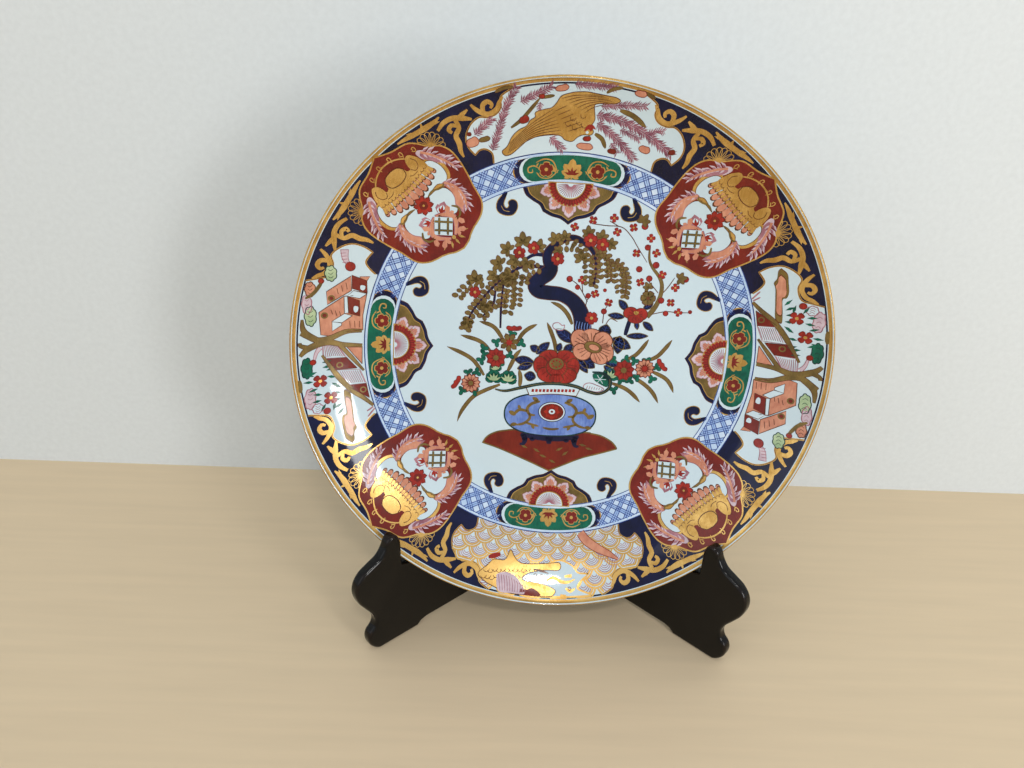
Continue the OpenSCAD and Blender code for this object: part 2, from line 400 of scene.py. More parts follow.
# ---------------- gilded lip
# A thin band of liquid gold, brushed round the lip on a banding wheel, fired last and
# burnished. It covers the bead and the first few millimetres of the face.
gold = enamel("burnished_gold", (216, 176, 104), (182, 140, 72), rough=(0.2, 0.32), metal=0.65, pool=90.0,
              streaks=0.5, ripple=0.12)
gilt_lift, gilt_bead = 0.05, 1.44
lip_line = [(r, -float(dish(r)) + gilt_lift) for r in (151.9, 152.6, 153.4)] + [
    (bead_radius + gilt_bead * math.cos(math.radians(a)), -lip_bead + gilt_bead * math.sin(math.radians(a)))
    for a in range(78, -73, -15)]
gilt_lip = turned("gilt_lip", lip_line, 384, gold, shut=False)
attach(gilt_lip, "plate_body")

# ---------------- the colours and how they are laid
# Each colour is drawn flat, as a decorator's transfer is, in mm from the middle of the plate,
# and is then laid on the curved glaze a hair above the colour beneath it and fired on.
pattern_turn = -0.9
layer_step = 0.024
spot = (cmath.exp(1j * math.radians(pattern_turn)), 0j, False)
sheets = {}

colours = {
    "navy": enamel("cobalt_navy", (15, 20, 60), (7, 10, 38), rough=(0.05, 0.1), pool=70.0, streaks=0.4),
    "red": enamel("iron_red", (122, 36, 26), (102, 28, 21), rough=(0.1, 0.2), pool=110.0, streaks=0.5),
    "bright": enamel("coral_red", (164, 45, 34), (130, 33, 26), rough=(0.08, 0.16), pool=160.0, streaks=0.7),
    "gold": gold,
    "green": enamel("emerald", (18, 104, 80), (9, 76, 60), rough=(0.05, 0.12), pool=120.0, streaks=0.5),
    "leaf": enamel("olive_gold", (134, 110, 60), (98, 80, 42), rough=(0.22, 0.34), metal=0.3, pool=140.0),
    "salmon": enamel("salmon", (210, 148, 120), (186, 120, 96), rough=(0.08, 0.16), pool=160.0, streaks=0.5),
    "mauve": enamel("mauve", (180, 126, 136), (138, 86, 100), rough=(0.08, 0.16), pool=160.0),
    "sky": enamel("pale_sky", (206, 222, 240), (176, 200, 230), rough=(0.05, 0.1), pool=90.0),
    "blue": enamel("cobalt_line", (54, 80, 152), (30, 48, 118), rough=(0.05, 0.1), pool=140.0),
    "peri": enamel("periwinkle", (122, 148, 208), (90, 116, 184), rough=(0.06, 0.12), pool=120.0, streaks=0.7),
    "brown": enamel("outline_brown", (110, 62, 34), (70, 34, 22), rough=(0.12, 0.2), pool=160.0),
    "moss": enamel("pale_moss", (184, 200, 160), (146, 172, 130), rough=(0.08, 0.14), pool=120.0),
    "pine": enamel("pine_green", (32, 66, 62), (14, 38, 40), rough=(0.06, 0.12), pool=120.0),
    "lilac": enamel("pale_lilac", (212, 194, 202), (188, 164, 176), rough=(0.06, 0.12), pool=160.0),
    "wash": enamel("thin_blue_wash", (166, 192, 230), (140, 170, 218), rough=(0.05, 0.1), pool=120.0),
    "plum": enamel("plum_line", (146, 92, 108), (110, 62, 80), rough=(0.08, 0.16), pool=160.0),
    "white": white_glaze,
}


def laying_tree():
    """Sets a flat sheet on the dish: each point moves to the glaze at its own radius, then off along its normal."""
    tree, given, out = geometry_tree("laid_on_the_dish", [
        ("Rim", "Float", 0.1), ("Floor", "Float", 0.05), ("Depth", "Float", 0.02), ("Power", "Float", 2.0),
        ("Lean", "Float", 0.0), ("Centre", "Vector", None), ("Material", "Material", None)])
    flat = add(tree, "ShaderNodeSeparateXYZ", {0: add(tree, "GeometryNodeInputPosition").outputs[0]})
    x, y, lift = flat.outputs
    radius = sum_up(tree, "SQRT", sum_up(tree, "ADD", sum_up(tree, "MULTIPLY", x, x), sum_up(tree, "MULTIPLY", y, y)))
    radius = sum_up(tree, "MAXIMUM", radius, 0.000001)
    run = sum_up(tree, "SUBTRACT", given.outputs["Rim"], given.outputs["Floor"])
    part = sum_up(tree, "MAXIMUM", sum_up(tree, "DIVIDE", sum_up(tree, "SUBTRACT", radius, given.outputs["Floor"]),
                                          run), 0.0)
    depth = sum_up(tree, "MULTIPLY", given.outputs["Depth"], sum_up(
        tree, "SUBTRACT", 1.0, sum_up(tree, "POWER", part, given.outputs["Power"])))
    steep = sum_up(tree, "POWER", part, sum_up(tree, "SUBTRACT", given.outputs["Power"], 1.0))
    steep = sum_up(tree, "DIVIDE", sum_up(tree, "MULTIPLY", sum_up(
        tree, "MULTIPLY", given.outputs["Depth"], given.outputs["Power"]), steep), run)
    inward = sum_up(tree, "DIVIDE", sum_up(tree, "MULTIPLY", steep, -1.0), radius)
    normal = add(tree, "ShaderNodeCombineXYZ", {"X": sum_up(tree, "MULTIPLY", inward, x),
                                                "Y": sum_up(tree, "MULTIPLY", inward, y), "Z": 1.0})
    unit = add(tree, "ShaderNodeVectorMath", {0: normal.outputs[0]}, operation="NORMALIZE")
    off = add(tree, "ShaderNodeVectorMath", {0: unit.outputs[0], "Scale": lift}, operation="SCALE")
    base = add(tree, "ShaderNodeCombineXYZ", {"X": x, "Y": y, "Z": sum_up(tree, "MULTIPLY", depth, -1.0)})
    at = add(tree, "ShaderNodeVectorMath", {0: base.outputs[0], 1: off.outputs[0]}, operation="ADD")
    laid = add(tree, "GeometryNodeSetPosition", {"Geometry": given.outputs["Geometry"], "Position": at.outputs[0]})
    return finish_tree(tree, given, out, stand_up(tree, given, laid.outputs[0]))


laying = laying_tree()


def set_down(points):
    """Points of the drawing, as complex numbers, where the present placing puts them."""
    scale, shift, flipped = spot
    z = np.asarray(points, complex)
    return scale * (z.conj() if flipped else z) + shift


def put(colour, z, layer, faces):
    """Adds triangles or quads to a colour's sheet, all facing the viewer."""
    points, made = sheets.setdefault(colour, ([], []))
    start = sum(len(p) for p in points)
    points.append(np.column_stack([z.real, z.imag, np.full(len(z), (layer + 1) * layer_step)]))
    for face in faces:
        a, b, c = z[face[0]], z[face[1]], z[face[2]]
        if ((b - a).conjugate() * (c - a)).imag < 0:
            face = face[::-1]
        made.append([start + i for i in face])

def fire(group):
    """Lays every sheet drawn so far on the plate, one piece for each colour, and clears the board."""
    for colour, (points, faces) in sheets.items():
        name = f"{group}_{colour}"
        flat = np.concatenate(points) * MM
        mesh = run_tree(plain_object(name + "_flat", flat, faces), laying, **{
            "Rim": rim_radius * MM, "Floor": floor_radius * MM, "Depth": well_depth * MM, "Power": side_power,
            "Lean": lean, "Centre": plate_centre, "Material": colours[colour]})
        mesh.name = name
        radius = np.maximum(np.hypot(flat[:, 0], flat[:, 1]) / MM, 1e-6)
        part = np.maximum(0, (radius - floor_radius) / (rim_radius - floor_radius))
        steep = well_depth * side_power * part ** (side_power - 1) / (rim_radius - floor_radius) / radius / MM
        normal = np.column_stack([-steep * flat[:, 0], -steep * flat[:, 1], np.ones(len(flat))])
        normal /= np.linalg.norm(normal, axis=1)[:, None]
        stand = np.array(Matrix.Rotation(math.pi / 2 - lean, 3, "X"))
        mesh.shade_smooth()
        mesh.normals_split_custom_set_from_vertices((normal @ stand.T).tolist())
        piece = bpy.data.objects.new(name, mesh)
        bpy.context.scene.collection.objects.link(piece)
        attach(piece, "plate_body")
    sheets.clear()

# ---------------- cobalt ground and blue lines
# The dark border ground, the pale ring inside it and the four thin lines that edge the ring
# are cobalt, strong or thinned with water, banded on the wheel before anything is drawn.
ring_inner, ring_middle, ring_outer = 99.2, 107.7, 116.0
overlap, ground_edge = 0.2, 151.5
line_radii, half_line = (ring_inner, 101.2, 114.2, 115.9), 0.22
fine_step = 1.8


def band(colour, inner, outer, layer, start=0.0, end=360.0):
    """A band between two radii, over an angle."""
    across = max(1, math.ceil((outer - inner) / fine_step))
    along = max(4, math.ceil(math.radians(end - start) * outer / 2.0))
    grid = [cmath.rect(inner + (outer - inner) * i / across, math.radians(start + (end - start) * j / along))
            for i in range(across + 1) for j in range(along + 1)]
    faces = [(i * (along + 1) + j, i * (along + 1) + j + 1, (i + 1) * (along + 1) + j + 1, (i + 1) * (along + 1) + j)
             for i in range(across) for j in range(along)]
    put(colour, set_down(grid), layer, faces)


band("navy", ring_outer - overlap, ground_edge, 0)
band("sky", ring_inner, ring_outer, 1)
for radius in line_radii:
    band("blue", radius - half_line, radius + half_line, 3)

# ---------------- lattice ring
# Eight short panels of diagonal lattice between the green bars and the red shields: broad
# strokes of thin cobalt wash, each under three fine cobalt lines, laid one way and then across.
lattice_pitch, line_gap, line_reach = 8.4, 1.2, 9.3
panel_start, aslant = 19.5, 1.41


def stamping_tree():
    """Stamps one small motif on every point, turned and sized by the point's own values."""
    tree, given, out = geometry_tree("stamped_motif", [("Motif", "Object", None), ("Material", "Material", None)])
    motif = add(tree, "GeometryNodeObjectInfo", {"Object": given.outputs["Motif"]})
    turn = add(tree, "GeometryNodeInputNamedAttribute", {"Name": "turn"}, data_type="FLOAT")
    size = add(tree, "GeometryNodeInputNamedAttribute", {"Name": "size"}, data_type="FLOAT")
    angle = add(tree, "ShaderNodeCombineXYZ", {"Z": turn.outputs[0]})
    spin = add(tree, "FunctionNodeEulerToRotation", {0: angle.outputs[0]})
    scale = add(tree, "ShaderNodeCombineXYZ", {"X": size.outputs[0], "Y": size.outputs[0], "Z": 1.0})
    dots = add(tree, "GeometryNodeMeshToPoints", {"Mesh": given.outputs["Geometry"]})
    set_out = add(tree, "GeometryNodeInstanceOnPoints", {
        "Points": dots.outputs[0], "Instance": motif.outputs["Geometry"],
        "Rotation": spin.outputs[0], "Scale": scale.outputs[0]})
    return finish_tree(tree, given, out, set_out.outputs[0])


stamping = stamping_tree()


def stamp(colour, motif, spots, layer):
    """Stamps a small outline at (x, y, angle, size) spots with the stamping tree, and adds it to a sheet."""
    n = len(motif)
    middle = tuple(np.mean(motif, axis=0))
    die = plain_object("die", [(x, y, 0) for x, y in [middle, *motif]], [(0, i + 1, (i + 1) % n + 1) for i in range(n)])
    dots = plain_object("dots", [(x, y, 0) for x, y, _, _ in spots], [])
    for label, values in (("turn", [math.radians(s[2]) for s in spots]), ("size", [s[3] for s in spots])):
        dots.data.attributes.new(label, "FLOAT", "POINT").data.foreach_set("value", values)
    mesh = run_tree(dots, stamping, Motif=die, Material=colours[colour])
    put(colour, set_down([complex(v.co.x, v.co.y) for v in mesh.vertices]), layer,
        [tuple(f.vertices) for f in mesh.polygons])
    bpy.data.meshes.remove(mesh)
    bpy.data.objects.remove(die)


def strip_die(width):
    """The outline of one lattice line, long enough to cross the ring aslant."""
    reach = np.linspace(-line_reach, line_reach, 12)
    return [(x, width / 2) for x in reach] + [(x, -width / 2) for x in reach[::-1]]


def lattice(quarter, side):
    """One panel of lattice."""
    step = math.degrees(lattice_pitch / ring_middle)
    for lean_way in (45, -45):
        wide, thin = [], []
        for k in range(-1, 5):
            for offset, pile in ((0, wide), (-line_gap, thin), (0, thin), (line_gap, thin)):
                angle = 90 * quarter + side * (panel_start + step * k) + math.degrees(offset * aslant / ring_middle)
                at = cmath.rect(ring_middle, math.radians(angle))
                pile.append((at.real, at.imag, angle + lean_way, 1.0))
        stamp("wash", strip_die(2.5), wide, 2)
        stamp("blue", strip_die(0.5), thin, 3)


for quarter in range(4):
    lattice(quarter, 1)
    lattice(quarter, -1)

# ---------------- green bars
# On each axis a green enamel bar with round ends, edged in white, cobalt and gold, with a
# gold leaf between two red flowers and gold tendrils.
bar_height = 6.8


@contextmanager
def placed(turn=0.0, mirror="", at=(0, 0), size=1.0, about=None):
    """Draws what is inside it turned, mirrored in x or y, sized (about a point, if one is given) and moved."""
    global spot
    before = spot
    scale, shift, flipped = before
    own = size * cmath.exp(1j * math.radians(turn)) * (-1 if mirror == "x" else 1)
    move = complex(*about) * (1 - size) if about else complex(*at)
    if flipped:
        own, move = own.conjugate(), move.conjugate()
    spot = (scale * own, scale * move + shift, flipped != bool(mirror))
    yield
    spot = before


def quarters(first=0):
    """Places what follows four times, a quarter turn apart."""
    for quarter in range(4):
        with placed(turn=first + 90 * quarter):
            yield quarter


def both_ways(mirror):
    """Places what follows twice, as drawn and mirrored."""
    for side in ("", mirror):
        with placed(mirror=side):
            yield side


def curved(points, closed=True, fine=1.2):
    """A smooth line through the points; a point given twice is a sharp corner."""
    p = [complex(*q[:2]) if not isinstance(q, complex) else q for q in points]
    n = len(p)
    line = []
    for i in range(n if closed else n - 1):
        b, c = p[i], p[(i + 1) % n]
        if abs(c - b) < 1e-9:
            continue
        a = p[(i - 1) % n] if closed or i else b
        d = p[(i + 2) % n] if closed or i + 2 < n else c
        for k in range(steps := max(3, math.ceil(abs(c - b) / fine))):
            t = k / steps
            line.append(0.5 * (2 * b + (c - a) * t + (2 * a - 5 * b + 4 * c - d) * t * t
                               + (3 * b - a - 3 * c + d) * t ** 3))
    if not closed:
        line.append(p[-1])
    return line


def fill(colour, points, layer, smooth=True, fine=1.2):
    """Fills an outline, with points inside it where the plate curves."""
    edge = set_down(curved(points, True, fine) if smooth else [complex(*q[:2]) for q in points])
    ring = [Vector((q.real, q.imag)) for q in edge]
    n = len(ring)
    lo, hi = complex(edge.real.min(), edge.imag.min()), complex(edge.real.max(), edge.imag.max())
    if abs(edge).max() > floor_radius - 2 and abs(hi - lo) > 2.5:
        for i, y in enumerate(np.arange(lo.imag, hi.imag, fine_step)):
            for x in np.arange(lo.real + (i % 2) * fine_step / 2, hi.real, fine_step):
                if np.abs(edge - complex(x, y)).min() > 0.5:
                    ring.append(Vector((x, y)))
    verts, _, faces, *_ = delaunay_2d_cdt(ring, [(i, (i + 1) % n) for i in range(n)], [], 1, 1e-4)
    put(colour, np.array([complex(*v) for v in verts]), layer, faces)


def stroke(colour, points, width, layer, taper=(1.0, 1.0), closed=False, smooth=True, fine=1.2):
    """A brush stroke along a line. Each end narrows to its share of the width.

    A point's third number is the width there.
    """
    own = [q[2] for q in points] if len(points[0]) > 2 else None
    line = curved(points, closed, fine) if smooth else [complex(*q[:2]) for q in points]
    z = set_down(line)
    keep = np.append(True, np.abs(np.diff(z)) > 1e-6)
    z = z[keep]
    n = len(z)
    ahead = np.roll(z, -1) - np.roll(z, 1)
    if not closed:
        ahead[0], ahead[-1] = z[1] - z[0], z[-1] - z[-2]
    normal = 1j * ahead / np.maximum(np.abs(ahead), 1e-9)
    run = np.append(0, np.cumsum(np.abs(np.diff(z))))
    t = run / run[-1]
    if own:
        marks = np.append(0, np.cumsum([math.dist(a[:2], b[:2]) for a, b in zip(points, points[1:])]))
        wide = np.interp(t, marks / marks[-1], own)
    else:
        wide = np.full(n, float(width))
    if not closed:
        start, end = np.clip(t / 0.3, 0, 1), np.clip((1 - t) / 0.3, 0, 1)
        wide = wide * (taper[0] + (1 - taper[0]) * start * (2 - start)) * (taper[1] + (1 - taper[1]) * end * (2 - end))
    wide = wide * abs(spot[0])
    lanes = max(1, math.ceil(wide.max() / 2))
    rows = [z + normal * wide * (k / lanes - 0.5) for k in range(lanes + 1)]
    faces = [(k * n + i, k * n + j, (k + 1) * n + j, (k + 1) * n + i) for k in range(lanes) for i, j in (
        [(i, i + 1) for i in range(n - 1)] + ([(n - 1, 0)] if closed else []))]
    put(colour, np.concatenate(rows), layer, faces)


def ruled(colour, points, width, layer, taper=(1.0, 1.0)):
    """A stroke that goes straight from point to point."""
    stroke(colour, points, width, layer, taper, smooth=False)


def arc(radius, start, end, count=9, centre=(0, 0)):
    """Points on an arc, by angle in degrees."""
    return [(centre[0] + radius * math.cos(math.radians(start + (end - start) * i / (count - 1))),
             centre[1] + radius * math.sin(math.radians(start + (end - start) * i / (count - 1))))
            for i in range(count)]


def round_spot(radius, sides=10):
    """The outline of a dot."""
    return [(radius * math.cos(2 * math.pi * i / sides), radius * math.sin(2 * math.pi * i / sides))
            for i in range(sides)]


petal = [(0, 0), (0.35, 0.22), (0.75, 0.27), (1.0, 0.0), (0.75, -0.27), (0.35, -0.22)]
slim_leaf = [(0, 0), (0.45, 0.16), (1.0, 0.0), (0.45, -0.16)]
broad_leaf = [(0, 0), (0.2, 0.22), (0.55, 0.29), (0.86, 0.18), (1.0, 0.0), (0.86, -0.18), (0.55, -0.29), (0.2, -0.22)]
round_petal = [(0, 0), (0.3, 0.3), (0.62, 0.44), (0.9, 0.34), (0.97, 0.0), (0.9, -0.34), (0.62, -0.44), (0.3, -0.3)]


def bar_outline(middle, half_height, half_angle):
    """A round-ended bar that follows a circle about the plate's middle, at the top of the plate."""
    cap = half_angle - math.degrees(half_height / middle)
    outer = arc(middle + half_height, 90 + cap, 90 - cap, 23)
    inner = arc(middle - half_height, 90 - cap, 90 + cap, 23)
    ends = []
    for sign in (-1, 1):
        at = cmath.rect(middle, math.radians(90 + sign * cap))
        turn = math.degrees(cmath.phase(at))
        ends.append([(at.real + half_height * math.cos(math.radians(turn + a)),
                      at.imag + half_height * math.sin(math.radians(turn + a)))
                     for a in ((-20, -45, -70, -90, -110, -135, -160) if sign < 0
                               else (-200, -225, -250, -270, -290, -315, -340))])
    return outer + ends[0] + inner + ends[1]


def flower(colour, heart, x, y, radius, petals, layer, turn=0.0, edge="gold"):
    """A small open flower: an edge colour, petals over it and a heart."""
    spots = [(x, y, turn + 360 * k / petals, radius) for k in range(petals)]
    shape = round_petal if petals < 7 else petal
    if edge:
        stamp(edge, shape, [(a, b, c, d * 1.14) for a, b, c, d in spots], layer)
    stamp(colour, shape, spots, layer + 1)
    stamp(heart, round_spot(radius * 0.26), [(x, y, 0, 1)], layer + 2)


def green_bar():
    """One bar with its flowers, at the top of the plate."""
    for colour, height, half_angle, layer in (
            ("gold", bar_height, 17.9, 4), ("navy", bar_height, 17.5, 5), ("white", bar_height, 15.9, 6),
            ("green", bar_height - 0.1, 14.9, 7)):
        fill(colour, bar_outline(ring_middle, height, half_angle), layer, smooth=False)
    for _ in both_ways("x"):
        flower("red", "gold", 14.5, 106.0, 4.0, 5, 8, 18)
        stroke("gold", [(8, 104.5), (11, 110.5), (16, 111.6), (20.5, 109.4)], 0.7, 8, (0.5, 0.4))
        stroke("gold", [(7.5, 106), (12, 101.6), (17, 101.4), (20, 104)], 0.6, 8, (0.5, 0.3))
        stroke("gold", [(18, 106), (21.5, 107.6), (24.6, 106.4), (24.4, 104), (22.2, 104), (22.4, 105.6)],
            0.7, 8, (0.4, 0.6))
        stamp("gold", slim_leaf, [(9, 104, 70, 4.5), (9.5, 105, 20, 4), (19, 109.5, -60, 3), (18, 102, 50, 3)], 8)
    stroke("gold", [(0, 100.9), (0, 104)], 0.9, 8)
    stamp("gold", broad_leaf, [(0, 103.5, a, s) for a, s in ((90, 9.0), (52, 7.6), (128, 7.6), (18, 6.2), (162, 6.2),
        (-24, 4.4), (204, 4.4))], 8)
    stamp("red", slim_leaf, [(0, 103.6, a, 4.6) for a in (90, 52, 128, 18, 162)], 10)


for _ in quarters():
    green_bar()

# ---------------- half-lotus medallions
# Hanging from each green bar: an ogee field of olive gold edged in cobalt, with half a lotus
# of five salmon petals, pale at the rim, round a red beaded arc and a fan of fine stamens.


def medallion():
    """One medallion, at the top of the plate."""
    side = [(20.6, 87.9), (20.6, 87.9), (17.1, 85.9), (15, 82.4), (15, 82.4), (10.1, 80), (4.6, 78.6)]
    ogee = [(27.2, 95.5), (27.2, 95.5), (25.2, 91.2), *side, (0, 75.6), (0, 75.6),
            *[(-x, y) for x, y in reversed(side)], (-25.2, 91.2), (-27.2, 95.5), (-27.2, 95.5)]
    top = arc(98.9, 105, 75, 11)
    heart = (0, 98.6)
    for colour, share, layer in (("brown", 1.0, 1), ("navy", 0.985, 2), ("gold", 0.905, 3), ("leaf", 0.885, 4)):
        with placed(about=(0, ring_inner), size=share):
            fill(colour, ogee + top[:1] + top + top[-1:], layer)
    lotus = [
        (10, 2.4), (12.6, 3.7), (15.4, 3.9), (16.4, 2.6), (17.4, 2.5), (19.4, 0), (19.4, 0), (17.4, -2.5), (16.4, -2.6),
        (15.4, -3.9), (12.6, -3.7), (10, -2.4)]
    for turn, size in ((-160, 0.93), (-20, 0.93), (-126, 0.96), (-54, 0.96), (-90, 1.0)):
        with placed(turn=turn, at=(0, 99.0), size=size):
            for colour, share, layer in (("mauve", 1.05, 5), ("lilac", 0.98, 6), ("salmon", 0.62, 7)):
                with placed(about=(14.0, 0), size=share):
                    fill(colour, lotus, layer)
            for across in (-0.8, -0.4, 0, 0.4, 0.8):
                ruled("mauve", [(12, across * 2.4), (17.6 - 1.6 * abs(across), across * 3.2)], 0.4, 8, (1, 0.3))
    fill("gold", arc(12.9, -184, 4, 17, heart), 8, smooth=False)
    stamp("bright", round_spot(0.95, 7), [(*p, 0, 1) for p in arc(11.6, -176, -4, 17, heart)], 9)
    fill("red", arc(11.6, -182, 2, 17, heart), 9, smooth=False)
    stamp("bright", slim_leaf, [(*p, -174 + 8 * k, 3.4) for k, p in enumerate(arc(8.8, -174, -6, 22, heart))], 10)
    fill("gold", arc(8.6, -182, 2, 15, heart), 11, smooth=False)
    fill("white", arc(8.1, -182, 2, 15, (0, 98.7)), 12, smooth=False)
    for a in range(-172, 0, 9):
        with placed(at=(0, 98.7), turn=a):
            ruled("mauve", [(1.5, 0), (7.6, 0)], 0.42, 13)
    stamp("white", round_spot(0.7, 8), [(-10, 87.6, 0, 1), (10, 87.6, 0, 1)], 7)


for _ in quarters():
    medallion()

# ---------------- cobalt hooks
# Eight comma-shaped hooks hang inside the ring, one on each side of every medallion. Each is
# one loaded stroke of cobalt, edged afterwards with a fine gold line.
hook = [
    (-37.6, 92.4), (-38.9, 90.4), (-41.2, 87), (-41.6, 83), (-39.6, 80.2), (-35.2, 79.0), (-31.4, 80), (-29.4, 83.8),
    (-30.2, 87.4), (-33, 88.4), (-35, 86.8), (-34.6, 84.6), (-36, 83.4), (-37.4, 85.6), (-36.4, 89.4), (-35.6, 92.4)]
for _ in quarters():
    for _ in both_ways("x"):
        fill("navy", hook, 2)
        stroke("gold", hook[1:-1], 0.4, 3)
        stroke("gold", [(-38.8, 84.5), (-37.2, 82), (-34, 81.4)], 0.35, 3)

# ---------------- red shields
# On each diagonal a lobed shield of iron red enamel, edged in gold. It holds a gilded crown
# over salmon tongues, two white reserves, a red flower, a barred lozenge in a ribbon and four
# acanthus leaves in mauve and salmon.
shield_half = [
    (152.7, 0), (152.7, 0), (149, 8.3), (146.8, 17), (143.8, 21), (138.8, 24.6), (137.4, 25.6), (137.4, 25.6),
    (134.7, 29.5), (131, 31.7), (126.8, 32.6), (121.6, 32.3), (116, 31.2), (110.6, 29.8), (105.6, 28.3), (101.4, 27.5),
    (97.4, 26.4), (93.8, 24), (91, 20.2), (89.3, 15.5), (88.8, 13), (88.8, 13), (87, 8.7), (84.9, 5),
    (83.6, 0), (83.6, 0)]
crown_half = [
    (129.2, 0), (130.6, 1.6), (129.6, 3.4), (131, 4.8), (129.8, 6.6), (131, 8.2), (129.4, 9.8), (130.4, 11.6),
    (128.8, 13), (129.6, 14.8), (129.4, 16.6), (131.4, 17.6), (134.4, 17.4), (137.8, 16.6), (141.4, 14.4),
    (142.2, 12.4), (140.8, 10.4), (138, 9.4), (135.8, 9.2), (136.4, 7), (138, 6.6), (141.2, 4.2), (142, 0)]
leaf_edge = [
    (139.5, 17.2), (140.2, 19.2), (138.2, 21.6), (138.2, 21.6), (137.6, 20.8), (135, 24.2), (135, 24.2), (133.6, 22.4),
    (130.4, 26), (130.4, 26), (128.6, 24.6), (124.6, 27.8), (120.2, 28.2), (120.2, 28.2), (125, 25.4), (129, 22),
    (132.6, 19.6), (136, 17.6)]
inner_leaf_edge = [
    (119, 16.4), (117.6, 20.4), (114.4, 20), (115.4, 23), (115.4, 23), (111.4, 20.6), (110.4, 24.2), (110.4, 24.2),
    (107.6, 20.4), (104.6, 23), (104.6, 23), (103.4, 19), (99.4, 20), (99.4, 20), (100.2, 16), (98, 13.6), (98, 13.6),
    (102, 13.4), (104.6, 13), (109, 16), (114.5, 16.8)]


tongue = [
    (0, 0.1), (0.45, 0.135), (0.8, 0.175), (0.95, 0.11), (1.0, 0.0), (0.95, -0.11), (0.8, -0.175),
    (0.45, -0.135), (0, -0.1)]
round_leaf = [
    (0, 0.06), (0.16, 0.28), (0.5, 0.38), (0.84, 0.27), (1.0, 0), (0.84, -0.27), (0.5, -0.38),
    (0.16, -0.28), (0, -0.06)]


def leafy(points, spacing, size, lean_way, layer, start=0.0, colour="leaf", edge="brown",
        motif=round_leaf, sides=(1, -1)):
    """Small leaves set along a line, on both sides, at a lean to it."""
    line = np.array(curved(points, False))
    run = np.append(0, np.cumsum(abs(np.diff(line))))
    spots = []
    for k, at in enumerate(np.arange(start, run[-1] + 0.1, spacing)):
        x, y = np.interp(at, run, line.real), np.interp(at, run, line.imag)
        dx = np.interp(at + 0.3, run, line.real) - np.interp(at - 0.3, run, line.real)
        dy = np.interp(at + 0.3, run, line.imag) - np.interp(at - 0.3, run, line.imag)
        along = math.degrees(math.atan2(dy, dx))
        for side in sides:
            wobble = 12 * math.sin(5.1 * k + side)
            turn = along + side * lean_way + wobble
            off = cmath.rect(size * 0.16, math.radians(turn))
            spots.append((x + off.real, y + off.imag, turn, size * (1 + 0.12 * math.sin(3.3 * k + 2 * side))))
    if edge:
        leaf_stamps(colour, edge, spots, layer, motif)
    else:
        stamp(colour, motif, spots, layer)


def leaf_stamps(colour, edge, spots, layer, motif=round_leaf):
    """Leaves with a darker edge showing round them."""
    stamp(edge, motif, [(x - 0.3 * math.cos(math.radians(a)), y - 0.3 * math.sin(math.radians(a)), a, s + 0.75) for x,
        y, a, s in spots], layer)
    stamp(colour, motif, spots, layer + 1)


def both_halves(half):
    """An outline from its upper half, mirrored across its own length."""
    return half + [(u, -v) for u, v in reversed(half) if v]


def feather(spine, size):
    """An acanthus leaf: toothed on both sides of its spine, pale at the edge."""
    leafy(spine, 2.3, size * 1.15, 36, 12, 0.2, "lilac", None, slim_leaf, sides=(-1,))
    leafy(spine, 2.3, size * 0.7, 26, 12, 1.0, "lilac", None, slim_leaf, sides=(1,))
    leafy(spine, 2.3, size * 0.8, 34, 13, 0.6, "mauve", None, slim_leaf, sides=(-1,))
    stroke("salmon", spine, 1.3, 14, (1, 0.3))


